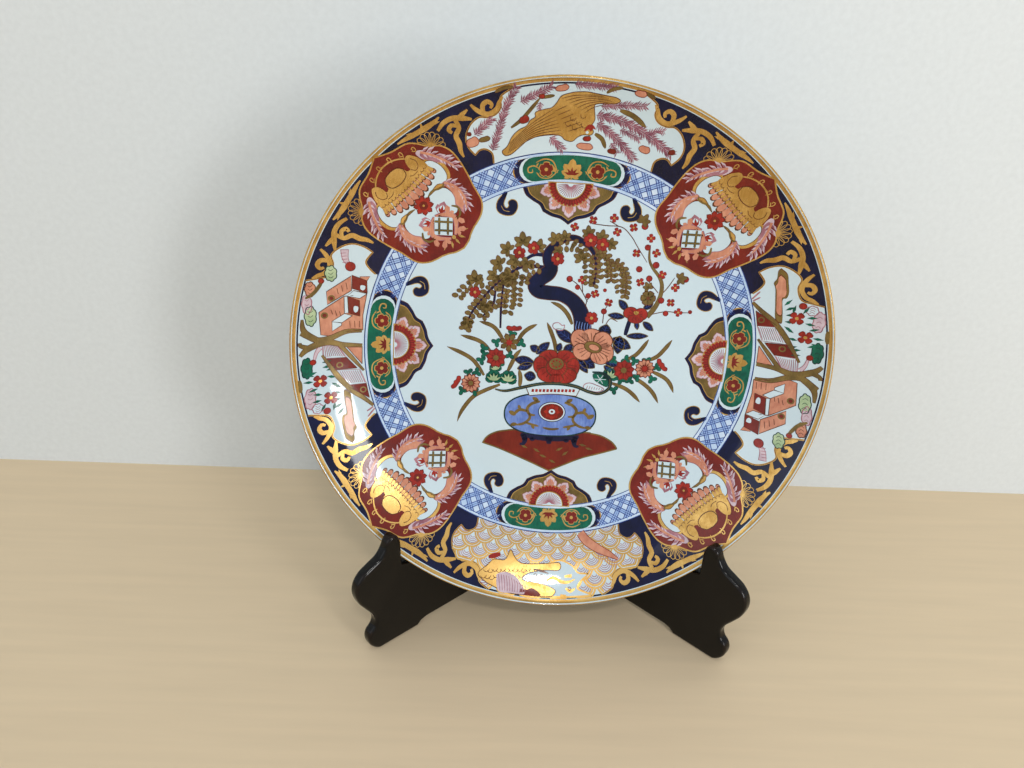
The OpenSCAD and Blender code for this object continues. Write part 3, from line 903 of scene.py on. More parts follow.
def shield():
    """One shield, on the ray that runs to the right."""
    outline = both_halves(shield_half)
    with placed(at=(-0.7, 0), size=1.006):
        fill("gold", outline, 5)
    fill("red", outline, 6)
    with placed(at=(1.0, 0), size=0.992):
        stroke("gold", outline, 0.75, 7, closed=True)
    stroke("gold", arc(15.6, -66, 66, 15, (130.6, 0)), 0.8, 7, (0.4, 0.4))
    for u, v, way in (
            (147.3, 2.5, 1), (147.0, -4.5, -1), (145.6, 9.5, 1), (144.8, -11, -1), (142.6, 17.6, 1), (142.2, -18, -1)):
        stroke("gold", [(u - 2.6, v), (u - 0.6, v + way), (u + 0.8, v + way * 0.6), (u + 0.6, v - way * 0.6),
            (u - 0.4, v - way * 0.4)], 0.5, 7, (0.5, 1))
        stroke("gold", [(u - 1.8, v + way * 0.4), (u - 0.4, v - way * 1.4)], 0.5, 7, (0.5, 0.4))
    for _ in both_ways("y"):
        upper = [
            (134, 16.5), (134, 16.5), (134.6, 19.4), (132, 22.6), (126.6, 24.6), (121, 23.9), (117.4, 21),
            (116.4, 17.2), (118.4, 14), (118.4, 14), (118, 9.6), (116.6, 5), (115.2, 0), (125, 0), (133, 8)]
        fill("gold", upper, 8)
        inner = [
            (133, 16.6), (133.2, 18.6), (131.2, 21), (126.4, 22.6), (121.4, 22), (118.8, 20), (118, 17.2), (120.2, 14),
            (119.8, 9.6), (118, 5), (116, 0), (125, 0), (132, 8)]
        fill("white", inner, 9)
        stroke("brown", inner[:9], 0.35, 10)
        fill("lilac", leaf_edge, 8)
        with placed(about=(129.8, 22.6), size=0.8):
            fill("mauve", leaf_edge, 9)
        feather([(138.6, 19.6), (134.8, 22.4), (130.2, 24.8), (125.4, 26.8), (121, 27.9)], 4.6)
        lower = [
            (117.6, 0), (118.6, 6), (118.4, 12), (115.6, 16), (109.6, 16.6), (104, 14), (101.6, 10.4), (104.6, 6),
            (107.6, 2), (107.6, 0)]
        fill("white", lower, 9)
        stroke("brown", lower[1:8], 0.35, 10)
        fill("mauve", inner_leaf_edge, 10)
        with placed(about=(108, 17.8), size=0.78):
            fill("salmon", inner_leaf_edge, 11)
        feather([(118.4, 17.4), (113.6, 20.2), (108.6, 20.8), (103.8, 19.6), (99.6, 16.8)], 4.2)
        stroke("leaf", [(106.4, 11.4), (103.6, 13.4), (100.4, 12.6), (98.8, 10)], 1.3, 12, (0.6, 0.5))
        stroke("leaf", [(118.6, 5), (119.6, 9), (118, 12.6), (117.4, 15.4), (118.6, 17)], 1.0, 12, (0.6, 0.6))
        for turn, size in ((128, 6.4), (96, 7.4), (66, 6)):
            u, v = 106.6, 3.2
            stamp("mauve", petal, [(u, v, turn - 38, size * 1.1)], 12)
            stamp("white", petal, [(u + 0.2, v + 0.2, turn - 38, size * 0.78)], 13)
            stamp("bright", slim_leaf, [(u + 0.6, v + 0.6, turn - 38, size * 0.7)], 14)
        for u, v, turn in ((99.6, 8.6, 160), (94.8, 4.4, 130), (104, 6.2, 40)):
            stamp("salmon", petal, [(u, v, turn, 5.6), (u, v, turn + 60, 4.2)], 14)
        stamp("brown", round_spot(1.1), [(99.4, 8.9, 0, 1), (106.4, 2.4, 0, 1)], 15)
        stroke("gold", [(94.4, 4), (92, 6.2), (90.6, 9.6)], 0.6, 8, (1, 0.3))
    fill("gold", both_halves(crown_half), 14)
    hang = [(131.6 + 0.004 * v * v, v, 180 - 1.3 * v, 10.8 - 0.014 * v * v) for v in np.arange(-15.6, 15.7, 3.12)]
    stamp("brown", tongue, [(u + 0.2, v, turn, size * 1.08) for u, v, turn, size in hang], 10)
    stamp("salmon", tongue, [(u, v, turn, size * 0.96) for u, v, turn, size in hang], 11)
    short = [(132.2, v, 180 - 1.0 * v, 5.2) for v in np.arange(-16.4, 16.5, 2.05)]
    stamp("brown", tongue, [(u, v, turn, size + 0.7) for u, v, turn, size in short], 12)
    stamp("gold", tongue, short, 13)
    for v in np.arange(-15.8, 16, 2.25):
        stroke("brown", arc(1.15, 90, 270, 6, (130.6 + 0.006 * v * v, v)), 0.28, 15)
    stroke("brown", [(138.6, 6.4), (135.2, 5.2), (133.8, 0), (135.2, -5.2), (138.6, -6.4)], 0.5, 15)
    for _ in both_ways("y"):
        stroke("brown", [(142, 0), (141.2, 4.2), (138.6, 6.4)], 0.4, 15)
        stroke("brown", [(135.6, 9.4), (133.6, 11), (134.4, 13.6), (137.4, 14.6), (140, 13.2)], 0.4, 15)
        stroke("brown", [(133.4, 6.4), (132.4, 8.6), (132.6, 11.4)], 0.35, 15)
    flower("bright", "leaf", 117.0, 0, 5.2, 8, 13, 12, edge="red")
    flower("red", "gold", 117.0, 0, 2.6, 6, 16, 40, edge=None)
    lozenge = [(108.4, 0), (101, 7.2), (93.6, 0), (101, -7.2)]
    fill("white", lozenge, 14, smooth=False)
    for shift in (-1.75, 1.75):
        for way in (1, -1):
            bar = [(104.7 + shift, way * (3.6 - shift)), (97.3 + shift, -way * (3.6 + shift))]
            ruled("pine", bar, 1.3, 15)
            ruled("leaf", bar, 0.8, 16)
    for _ in both_ways("y"):
        stroke("mauve", [(108.6, 0.4, 1.2), (105.6, 5.2, 3.0), (101.2, 8.0, 3.2), (97, 6.2, 2.6),
            (92.8, 1.6, 1.4)], 1, 14)
        stroke("salmon", [(108.2, 0.6, 0.8), (105.4, 5.2, 2.2), (101.2, 8.0, 2.4), (97, 6.2, 1.9),
            (93, 1.8, 1.0)], 1, 15)
    for v in (-2.4, 0, 2.4):
        stamp("gold", slim_leaf, [(91.6, v, 180 - v * 14, 4.6)], 8)
    stamp("gold", round_spot(1.2), [(92.4, 0, 0, 1)], 8)


for _ in quarters(45):
    shield()

# ---------------- border reserves
# Four white windows are left in the cobalt border, two wide and two tall, each with a fine
# gold edge and a cobalt lobe at each lower corner.
window_outer, window_inner = 150.7, 116.3
wide_left = [
    (-36, 146.6), (-36, 146.6), (-41.6, 142.4), (-41.2, 137.6), (-43.6, 133.8), (-48.2, 131.8), (-53, 131.4),
    (-57.4, 127.4), (-59.6, 121.3), (-58.4, 116), (-54.4, 111.8), (-54.4, 111.8), (-52, 114.6), (-48.6, 115.2),
    (-45, 113), (-44, 107.8), (-44, 107.8)]
tall_right = [
    (109.6, 42.3), (109.6, 42.3), (112.6, 45.3), (114.7, 49.8), (110.9, 55.2), (110.9, 55.2), (115.5, 58.4),
    (121.5, 60.1), (127.6, 58.2), (132.4, 53.9), (131.7, 48.3), (134.4, 41.8), (140, 40.4),
    (145.6, 39.6), (145.6, 39.6)]


def other_side(half, mirror):
    """The second side of a window."""
    return [(-x, y) if mirror == "x" else (x, -y) for x, y in reversed(half)]


def window_outline(half, mirror):
    """A window from its two sides, closed by the border's outer and inner edges."""
    other = other_side(half, mirror)
    if mirror == "x":
        return half[::-1] + arc(window_outer, 103.8, 76.2, 11) + other[::-1] + arc(window_inner, 67.8, 112.2, 15)
    return half + arc(window_outer, 15.2, -15.2, 11) + other + arc(window_inner, -21, 21, 15)


def leave_window(outline, half, mirror):
    """White glaze in the window, and a gold line down both sides."""
    fill("white", outline, 3)
    for side in (half, other_side(half, mirror)):
        stroke("gold", side, 0.9, 4)
        stroke("brown", side, 0.3, 5)


wide_window, tall_window = window_outline(wide_left, "x"), window_outline(tall_right, "y")
for _ in both_ways("y"):
    leave_window(wide_window, wide_left, "x")
for _ in both_ways("x"):
    leave_window(tall_window, tall_right, "y")

# ---------------- gold scrolls on the border
# Leafy scrolls brushed in burnished gold over the cobalt, beside every window, and a half
# daisy in gold line on each flank of every shield.


def half_daisy():
    """A half daisy on the flank of a shield that points to the right."""
    u, v = 136.6, 25.8
    for k, angle in enumerate(range(-34, 152, 23)):
        with placed(turn=angle - 6, at=(u, v)):
            loop = [(1.6, 0), (3.6, 1.2), (6.6, 1.5), (7.9, 0), (6.6, -1.5), (3.6, -1.2)]
            stroke("gold", loop, 0.36, 2, closed=True)
    stamp("gold", round_spot(2.5, 12), [(u, v, 0, 1)], 3)


def border_scroll():
    """The gold scrolls between the top window and the shield on its left."""
    for line in (
            [(-57.4, 137.6, 1.2), (-54.6, 135.4, 2.2), (-51, 133.8, 2.6), (-47.4, 133.6, 2.4), (-43.6, 136.2, 2.4),
            (-42.2, 139.6, 2.2), (-40.6, 142.6, 1.0)], [(-50.6, 134, 2.2), (-51, 137.6, 2.6), (-48.6, 139.6, 2.4),
            (-46.2, 138.4, 2.0), (-46.8, 136.4, 1.4)], [(-74.6, 123.4, 1.6), (-71.6, 127.6, 2.4), (-67, 130.2, 2.6),
            (-61.6, 130.6, 2.8), (-56.6, 130.4, 1.2)], [(-63.6, 130.6, 2.4), (-61.6, 132.6, 2.4), (-59, 135, 1.0)],
            [(-65.4, 129.4, 2.2), (-63.4, 125.6, 2.4), (-65, 121.4, 2.8), (-63.2, 117.6, 3.0), (-62.4, 113.6, 2.4),
            (-60.6, 110.4, 1.0)], [(-64.4, 126.4, 1.6), (-67.4, 126.6, 2.2), (-68.8, 124.2, 2.4), (-67, 122.8, 1.6)],
            [(-73.8, 130.4, 0.8), (-76.6, 127.6, 2.2), (-80.4, 124.8, 3.0), (-84.6, 122.2, 2.6), (-88.6, 119.8, 2.6),
            (-92.4, 117.6, 1.8), (-95.6, 115.4, 0.7)], [(-82.4, 123.8, 2.2), (-83.4, 126.6, 0.6)]):
        stroke("gold", line, 1, 5)
    stamp("gold", slim_leaf, [(-78, 126.6, 20, 5), (-86, 121.2, 188, 5.4)], 5)


for _ in quarters():
    for _ in both_ways("x"):
        border_scroll()
    with placed(turn=45):
        for _ in both_ways("y"):
            half_daisy()

# ---------------- top window: bird in pine
# A gilded bird with spread wings flies through fronds of mauve pine, with a few gold reeds,
# small leaves and buds. All fine overglaze work on the white window.


def outlined(colour, points, layer, edge="brown", line=0.5):
    """A filled shape with a painted line round it."""
    fill(colour, points, layer)
    stroke(edge, points, line, layer + 1, closed=True)


bird = [
    (22.2, 143.4), (20, 145), (14.9, 145.8), (9, 146.6), (4.4, 147.2), (-1, 147), (-5, 146.2), (-9.4, 144.6),
    (-11.5, 141.4), (-14, 138.6), (-17.8, 137.6), (-22.6, 135.8), (-22.6, 133.4), (-25.2, 131.6), (-27, 128.6),
    (-31, 126.4), (-34.6, 122.6), (-37.0, 117.4), (-39.7, 114.6), (-38, 112.4), (-34.4, 113.4), (-29.6, 117.8),
    (-24.6, 122), (-16.6, 124.2), (-8.6, 124.6), (-5.4, 122.4), (-1.4, 121.8), (1.4, 124.2), (4.6, 125.6), (8.4, 125.6),
    (9.8, 127.4), (8.4, 130.4), (9.8, 133.6), (9.2, 137.6), (9, 141.2), (14, 142), (19, 142)]
outlined("gold", bird, 7, line=0.4)


def part_way(a, b, share):
    """A point part of the way from a to b."""
    return tuple(p + (q - p) * share for p, q in zip(a, b))


for k in range(8):
    start, end = part_way((-13, 138), (-7, 125.6), k / 7), part_way((-35.6, 119.4), (-36.4, 114), k / 7)
    middle = part_way(start, end, 0.5)
    stroke("brown", [start, (middle[0], middle[1] + 1.2 + 0.3 * k), end], 0.34, 9, (0.4, 0.6))
for k in range(7):
    start, end = part_way((-9, 143.4), (4, 137), k / 6), part_way((12, 146), (19, 142.6), k / 6)
    middle = part_way(start, end, 0.4)
    stroke("brown", [start, (middle[0] - 1, middle[1] + 0.8), end], 0.34, 9, (0.4, 0.5))
for k in range(6):
    stroke("brown", [part_way((-12, 137), (-4, 127), k / 5), part_way((-6, 140), (4, 130), k / 5)], 0.34, 9, (0.5, 0.5))
for x, y in ((-2, 134), (1.6, 132), (-4.4, 131.2), (-0.6, 129.4), (3.4, 135.6), (4.4, 130.6)):
    stroke("brown", arc(1.5, 160, 340, 6, (x, y)), 0.3, 9)
fill("bright", [(4.6, 127.4), (6.2, 130.6), (9, 131), (11, 128.6), (9.4, 129), (8.4, 127.4), (7, 128.6)], 9)
fill("white", arc(0.8, 0, 324, 8, (6.4, 126.9)), 10)
needle = [(0, 0.08), (0.5, 0.1), (1, 0), (0.5, -0.1), (0, -0.08)]


def frond(points, size=3.4, layer=4):
    """A pine frond: a fine stem with needles on both sides, shorter towards its tip."""
    stroke("plum", points, 0.6, layer + 1, (1, 0.5))
    leafy(points, 1.2, size * 0.86, 50, layer, 0.4, "plum", None, needle)
    leafy(points, 1.2, size * 0.7, 40, layer, 1.0, "mauve", None, needle)


for line, size in (
        ([(-45, 114.6), (-42, 125), (-38.6, 137), (-33.6, 147.6)], 3.6),
        ([(-55, 122.4), (-50, 127.4), (-45.6, 131.4)], 3.6), ([(-31, 140.4), (-23, 144.6), (-14.6, 149)], 3.4),
        ([(10.4, 136), (24, 133.6), (38, 127.6), (53.4, 117.4)], 4.0),
        ([(11.2, 132), (20, 126.4), (27, 120.4), (33.4, 114)], 3.8), ([(12.4, 140.4), (24, 141.4), (36, 141.4)], 3.2),
        ([(39.4, 127.4), (43.4, 129.2), (47.6, 129.4)], 3.0), ([(24, 129), (31, 126.6), (35, 124.4)], 3.0),
        ([(-13.8, 123.4), (-10.4, 120.6), (-6.4, 117.4)], 3.6), ([(-2.8, 150.4), (8, 150.2), (18.4, 149.8)], 3.0),
        ([(-20.4, 141), (-20.6, 137)], 2.6), ([(20, 122), (24, 116.6)], 3.0)):
    frond(line, size)
for line, wide in (
        ([(-35.4, 127.2), (-30, 131.6), (-24.6, 138), (-20.8, 142.8)], 1.5), ([(-20, 143.2), (-13, 144.6)], 1.3),
        ([(10.7, 126.4), (14.9, 123.8), (17.3, 119)], 1.9), ([(22.6, 139), (30, 136.4), (37.4, 131.2)], 2.2),
        ([(14.2, 147.2), (18, 149.2), (22.4, 149.8)], 1.4), ([(-44.6, 144.4), (-40, 146.6), (-35, 147.4)], 1.3),
        ([(34, 148), (40, 145.6)], 1.3)):
    stroke("brown", line, wide + 0.5, 5, (0.5, 0.3))
    stroke("leaf", line, wide, 6, (0.4, 0.2))
for colour, x, y, wide, high, turn in (
        ("bright", -28.5, 131.7, 2.8, 2.0, 20), ("bright", 6.6, 123.6, 2.2, 1.4, 0), ("red", 21, 117.6, 2.4, 1.4, -10),
        ("salmon", 5.8, 119.4, 4.6, 1.9, -6), ("salmon", 38.6, 119.4, 3.2, 2.0, -20),
        ("salmon", -9.4, 148.4, 3.6, 1.6, 10), ("salmon", 32, 147.4, 3.2, 1.6, -12),
        ("salmon", -56, 118.4, 3.6, 2.6, 20), ("leaf", -49.6, 120.4, 3.2, 1.4, 15), ("red", 53.4, 118.6, 1.8, 1.4, 0),
        ("bright", -19.8, 143.8, 1.6, 1.2, 0), ("red", -58, 122.6, 1.2, 1.0, 0)):
    c, s = math.cos(math.radians(turn)), math.sin(math.radians(turn))
    shape = [(x + wide * a * c - high * b * s, y + wide * a * s + high * b * c) for a, b in
             ((-1, 0), (-0.6, 0.8), (0, 0.9), (0.6, 1.0), (1, 0.1), (0.7, -0.7), (0, -0.9), (-0.7, -0.7))]
    outlined(colour, shape, 7, "red" if colour == "salmon" else "brown", 0.35)

# ---------------- side windows: houses by old pines
# The two tall windows carry the same scene, one turned half round: a hollow pine trunk,
# crossing gold branches, striped banks, salmon houses with red doors and cloud-like pines.


def cloud(colour, x, y, wide, high, edge="brown", layer=6):
    """A small pine cut like a cloud."""
    shape = []
    for k in range(7):
        a = 2 * math.pi * k / 7 + 0.4
        shape += [(x + wide * math.cos(a), y + high * math.sin(a)),
                  (x + wide * 1.12 * math.cos(a + 0.28), y + high * 1.12 * math.sin(a + 0.28)),
                  (x + wide * 1.12 * math.cos(a + 0.6), y + high * 1.12 * math.sin(a + 0.6))]
    outlined(colour, shape, layer, edge)
    for k in (-0.5, 0.0, 0.5):
        stroke(edge, [(x - wide * 0.5, y + high * k - 0.6), (x, y + high * k + 0.5),
            (x + wide * 0.5, y + high * k - 0.4)], 0.3, layer + 1, (0.5, 0.5))


def flat(colour, points, layer, edge="brown", line=0.4):
    """A straight-sided patch with a drawn line round it."""
    fill(colour, points, layer, smooth=False)
    ruled(edge, [*points, points[0]], line, layer + 1)


def between(a, b, c, d, rows, gap):
    """Hatching lines across a four-sided patch, from side a-b to side d-c."""
    for k in range(rows):
        t = (k + 0.5) / rows
        p, q = part_way(a, b, t), part_way(d, c, t)
        ruled("mauve", [part_way(p, q, gap), part_way(p, q, 1 - gap)], 0.4, 6)


def wider(line, more):
    """The same brush line with more width all along."""
    return [(x, y, w + more) for x, y, w in line]


def village():
    """The scene of the right-hand window."""
    for colour, layer, points in (
            ("salmon", 4, [(116.8, -9), (116.8, -18), (114.6, -30), (114.6, -38), (112.6, -41), (118, -41),
            (118.6, -30), (126.8, -29.6), (140, -20.6), (139.3, -7.2), (134.2, -6.0), (128, -8.4)]),
            ("white", 6, [(128.4, -12.2), (133.4, -9.0), (133.4, -14.6), (128.4, -13.8)]),
            ("white", 6, [(122.6, -17.8), (128.4, -13.6), (133.6, -14.8), (126.8, -19.2)]),
            ("red", 6, [(118.4, -17.4), (124.4, -19.2), (124.8, -29.4), (118.6, -26.8)]),
            ("white", 6, [(124.6, -19.4), (126.8, -19.4), (126.8, -29.2), (125, -29.4)]),
            ("white", 8, [(114.3, -30.8), (118.5, -28), (125.2, -29.6), (121.6, -32.8)]),
            ("red", 8, [(114.3, -31.2), (122.4, -34), (122.4, -42), (114.4, -38.6)]),
            ("salmon", 6, [(122.8, -32.8), (135.6, -25), (135.8, -32.6), (122.8, -41.4)])):
        flat(colour, points, layer)
    fill("white", [(119.4, -23), (119.6, -20.6), (120.8, -19.6), (121.8, -20.8), (121.6, -23.4)], 8)
    fill("white", [(115.4, -35.4), (115.6, -33.6), (116.8, -32.8), (118, -33.8), (117.8, -35.8)], 10)
    for x, y in ((137.2, -18.6), (133.4, -28.6), (129.5, 11.6), (116.4, 27.3)):
        fill("leaf", arc(1.9, 0, 324, 10, (x, y)), 7)
        fill("red", arc(1.1, 0, 324, 10, (x, y)), 8)
    for k in range(3):
        ruled("brown", [(128.6 + 2.2 * k, -17 - k), (129.4 + 2.2 * k, -20.6 - 0.6 * k)], 0.35, 6)
        ruled("brown", [(118.6 + 2.6 * k, -10.6), (118.8 + 2.6 * k, -14.6)], 0.35, 6)
        ruled("brown", [(125 + 2.4 * k, -33.6 + 1.3 * k), (125.6 + 2.4 * k, -37.6 + 1.6 * k)], 0.35, 8)
    flat("red", [(112.8, 32.4), (126.2, 24.1), (114.7, 23.5)], 5)
    flat("red", [(120, 13.9), (133.8, 14.4), (137.4, 7.4), (125.8, 7.2)], 5)
    flat("salmon", [(117.2, 11.6), (125.8, 0.8), (117.2, 1.0)], 5)
    first = ((114.7, 23.5), (126.2, 24.1), (131.6, 14.6), (118.4, 14.8))
    second = ((126, 7.2), (138.4, 7.0), (138.6, -1.6), (131, -0.8))
    for quad in (first, second):
        flat("white", list(quad), 4, "mauve")
        between(*quad, 11, 0.08)
    for line in (
            [(110.4, 37.2, 1.2), (116, 32.4, 2.0), (123, 27.0, 2.6), (130.6, 18, 2.6), (138.8, 5.0, 0.8)],
            [(116.2, 15.6, 0.8), (123, 7.4, 1.9), (130, -1.2, 2.0)],
            [(117.2, 0.4, 1.8), (127.6, -0.6, 2.4), (136.7, -2.6, 3.4), (145.6, 0.4, 3.2), (149.8, 4.6, 1.4)],
            [(117.4, -8.6, 1.6), (126, -8.4, 2.4), (134.4, -5.0, 2.8), (141, -4.2, 3.0), (147, -7.6, 2.6),
            (149.4, -8.8, 1.6)], [(141.4, -4.6, 2.4), (147.6, -10, 2.6), (148.4, -17.0, 0.8)],
            [(146, 0, 2.4), (149.4, -1.6, 1.8), (149.8, -3.4, 1.2)]):
        stroke("brown", wider(line, 0.6), 1, 8)
        stroke("leaf", line, 1, 9)
    hollow = [
        (121.6, 59), (121.6, 59), (125.2, 56), (126.6, 51), (127.8, 45.2), (127.2, 41.8), (125.4, 40.6), (126.6, 33),
        (127, 26.6), (123.6, 28.6), (122.2, 37), (120.8, 46.4), (119.4, 49.8), (120.6, 52.6), (120.4, 57)]
    fill("brown", hollow, 9)
    for colour, share, layer in (("leaf", 0.96, 10), ("brown", 0.76, 11), ("salmon", 0.71, 12)):
        with placed(about=(123.6, 44), size=share):
            fill(colour, hollow, layer)
    leaf_stamps("green", "pine", [(x, y, a, 4.6) for x, y, a in ((127, 37.6, 50), (128, 34.8, 30), (128.6, 31.8, 10),
        (128.6, 28, 0), (128.8, 25, -30), (139, 31.8, 10), (138.6, 28.4, -5), (141, 24.6, 20), (143.4, 20.4, 0),
        (136, 17.8, 170), (136.4, 14.2, 200), (138.4, 12.4, 190), (138.6, 9.4, 190), (141.6, 14.8, 20),
        (133.6, 22, 150), (131.6, 33.6, 80), (136.6, 34.2, 60), (143, 17.2, -20))], 6, slim_leaf)
    for x, y in ((134, 30.8), (139.7, 20.3)):
        flower("bright", "gold", x, y, 3.7, 4, 8, 45, edge="red")
    for x, y, w in ((135.8, 38.4, 1.8), (123, -47, 2.6), (138.2, -39, 1.4), (143.4, 8.8, 1.5)):
        outlined("bright", arc(w, 0, 324, 10, (x, y)), 8, "red", 0.4)
    for pine in (
            ("white", 140.6, 36.4, 2.6, 2.6, "mauve"), ("lilac", 144.6, 30.2, 2.6, 5.6, "mauve"),
            ("green", 146.5, 12, 2.6, 5.6, "pine"), ("moss", 144.2, -18.6, 2.7, 5.4, "pine"),
            ("lilac", 145.7, -25.6, 2.2, 5.2, "mauve"), ("salmon", 143.8, -34.4, 2.4, 4.0, "brown"),
            ("moss", 133.2, -43.2, 2.8, 4.2, "pine")):
        cloud(*pine)
    stroke("leaf", [(149.4, 26), (149.6, 21.8), (150.2, 18.6)], 2.0, 6, (0.5, 0.6))
    stroke("leaf", [(137.8, -38.4), (142, -32.2), (146.4, -29.2)], 2.0, 8, (0.6, 0.5))
    stroke("mauve", [(142.8, 8, 1.4), (141.8, 3.6, 2.0), (139.8, 0.4, 2.8)], 1, 7)
    stroke("lilac", [(142.8, 7.6, 0.8), (141.8, 3.6, 1.3), (139.8, 0.4, 2.0)], 1, 8)
    stroke("mauve", [(123.4, -48, 2.2), (125.4, -51.4, 3.4), (125.6, -57, 4.4)], 1, 6)
    stroke("lilac", [(123.4, -48, 1.5), (125.4, -51.4, 2.6), (125.6, -56.6, 3.6)], 1, 7)
    for k in range(4):
        ruled("mauve", [(124 + 0.4 * k, -49.6 - 1.8 * k), (127 + 0.3 * k, -49.4 - 1.8 * k)], 0.35, 8)
    stroke("mauve", [(109.6, 39), (113.4, 44)], 0.9, 6, (0.8, 0.5))
    stroke("mauve", [(110.4, 38), (114, 40.6)], 0.9, 6, (0.8, 0.5))


for turn in (0, 180):
    with placed(turn=turn):
        village()

# ---------------- bottom window: waves
# Rows of scalloped waves, each a gold arc over four fine mauve ripples, fill the window and
# stop at its edge. A gilded body breaks through them at the left, with gold scrolls on white.
frame_line = np.array(curved(wide_window)).conj()


def inside(point, outline):
    """Whether a point lies within an outline."""
    after = np.roll(outline, -1)
    spans = (outline.imag > point.imag) != (after.imag > point.imag)
    a, b = outline[spans], after[spans]
    reach = a.real + (point.imag - a.imag) * (b.real - a.real) / (b.imag - a.imag)
    return (reach > point.real).sum() % 2 == 1


wave_step, first_row, row_growth = 6.2, 114.4, 1.0345
for row in range(9):
    swell = row_growth ** row
    for k in range(-5, 6):
        angle = 270 + wave_step * (k + 0.5 * (row % 2))
        middle = cmath.rect(first_row * swell, math.radians(angle))
        for colour, radius, wide, layer in (
                ("gold", 5.4, 2.1, 5), ("white", 5.4, 0.3, 6), ("mauve", 4.0, 0.34, 5), ("mauve", 3.1, 0.34, 5),
                ("mauve", 2.2, 0.34, 5), ("mauve", 1.3, 0.34, 5)):
            line = [middle + cmath.rect(radius * swell, math.radians(angle + a)) for a in range(-69, 70, 6)]
            kept = [(q.real, q.imag) for q in line if inside(q, frame_line)]
            if len(kept) > 3:
                ruled(colour, kept, wide * swell, layer)
body = [
    (-36.6, -143.8), (-36.6, -143.8), (-42.4, -139), (-37, -134.6), (-33, -131.6), (-26, -131.8), (-22.8, -126.4),
    (-20, -130.4), (-16, -133.6), (-8, -134), (2.6, -133.2), (8.4, -132.8), (8.2, -136.6), (-1, -137.2), (-11, -139),
    (-14.6, -142.4), (-6, -143.8), (0.4, -145), (6.2, -147.4), (4.2, -150.4), (4.2, -150.4), (-1.4, -150.6),
    (-10, -150.2), (-24, -148.8)]
foam = [
    (2.6, -133), (9, -131.4), (16, -133.6), (20, -137.2), (26, -137.6), (22, -141.4), (20, -145.4), (28, -147.6),
    (27, -148.4), (14, -150), (-2, -150.6), (-16, -149.8), (-18, -142), (-10, -137.6)]
outlined("white", foam, 8, "gold", 0.9)
outlined("gold", body, 10, line=0.4)
for k in range(13):
    x = -39 + 2.6 * k
    stroke("brown", arc(1.9, 200, 350, 6, (x, -139.4 - 0.5 * (k % 3))), 0.32, 12)
    stroke("brown", arc(1.9, 200, 350, 6, (x + 1.6, -136.2 - 0.5 * (k % 2))), 0.32, 12)
fin = [
    (-31, -139.6), (-31, -139.6), (-27, -138.4), (-21.4, -139.4), (-16.4, -143), (-11.4, -150.2), (-11.4, -150.2),
    (-20, -149.2), (-29.4, -147.8)]
fill("lilac", fin, 12)
for k in range(11):
    stroke("mauve", [(-29.6 + 1.6 * k, -139.6 - 0.16 * k * k * 0.45), (-29 + 1.65 * k, -143.4 - 0.2 * k),
        (-28.4 + 1.55 * k, -147.6 - 0.16 * k)], 0.42, 13)
stroke("bright", [(-36.4, -130.4, 1.6), (-33, -129.6, 3.0), (-29, -128.8, 1.8)], 1, 12)
fill("red", [(-16, -146.6), (-12, -147.4), (-8, -146.6), (-3.6, -149), (-4, -150.4), (-15, -149.8)], 12)
stroke("brown", [(-8, -136.8, 0.6), (-3, -137.6, 1.3), (1.6, -138.8, 0.5)], 1, 12)
for line in (
        [(0.8, -142.4, 1.0), (4.6, -140.8, 1.7), (9.6, -142.6, 1.8), (14, -142.6, 1.5), (18.2, -140.8, 0.5)],
        [(11.8, -139.8, 1.2), (16.2, -139.2, 1.8)], [(12.6, -145.8, 1.2), (15.4, -147, 1.9), (18.4, -145.6, 0.8)],
        [(9.4, -149.4, 0.8), (13, -149.6, 1.2)]):
    stroke("gold", line, 1, 11)
for x, y in ((-6.6, -139.9), (-2.8, -140.3), (15, -145.9)):
    stroke("brown", arc(0.9, 0, 324, 8, (x, y)), 0.35, 12, closed=True)
ribbon_tail = [(20.6, -114.8, 4.6), (25, -119.4, 5.0), (32, -123, 4.4), (39, -125.4, 3.0), (44.6, -127.6, 0.8)]
stroke("red", wider(ribbon_tail, 0.8), 1, 8)
stroke("salmon", ribbon_tail, 1, 9)
for k in range(9):
    x, y = 33 + 1.4 * k, -125.2 - 0.5 * k
    ruled("mauve", [(x, y), (x - 0.6, y - 3.4)], 0.35, 10)
fire("border")

# ---------------- the bowl on its red cloth
# The middle is painted as a flower arrangement: a periwinkle bowl on a cobalt stand, set on
# a red cloth, with a pine-green ribbon line round its collar.


def oval(x, y, wide, high, count=20, turn=0.0):
    """The outline of an oval."""
    c, s = math.cos(math.radians(turn)), math.sin(math.radians(turn))
    made = []
    for k in range(count):
        a = 2 * math.pi * k / count
        u, v = wide * math.cos(a), high * math.sin(a)
        made.append((x + u * c - v * s, y + u * s + v * c))
    return made


cloth = [
    (-43.6, -59.8), (-43.6, -59.8), (-40.8, -55.6), (-35.8, -52.6), (-30, -51.2), (-20, -50.2), (18, -50),
    (23.2, -50.6), (29.4, -51.8), (35.7, -55), (38.8, -58.2), (39.6, -59.8), (39.6, -59.8), (29, -63.4), (18, -67),
    (7, -72.2), (-1.6, -76.4), (-1.6, -76.4), (-12.4, -71.6), (-23.4, -67), (-34, -62.8)]
outlined("red", cloth, 1, "leaf", 0.9)
for x, y, turn in (
        (-12, -62, -30), (-8, -66, -20), (2, -63, 30), (6, -66, 40), (16, -58, -10), (20, -60, -15),
        (-20, -60, -25), (-2, -69, -25)):
    stamp("leaf", slim_leaf, [(x, y, turn, 5)], 3)
bowl = [(-3 + 28 * math.copysign(abs(math.cos(a)) ** 0.84, math.cos(a)),
    -39.8 + 13.6 * math.copysign(abs(math.sin(a)) ** 0.84, math.sin(a))) for a in np.linspace(0, 2 * math.pi, 41)[:-1]]
outlined("peri", bowl, 4, "pine", 0.9)
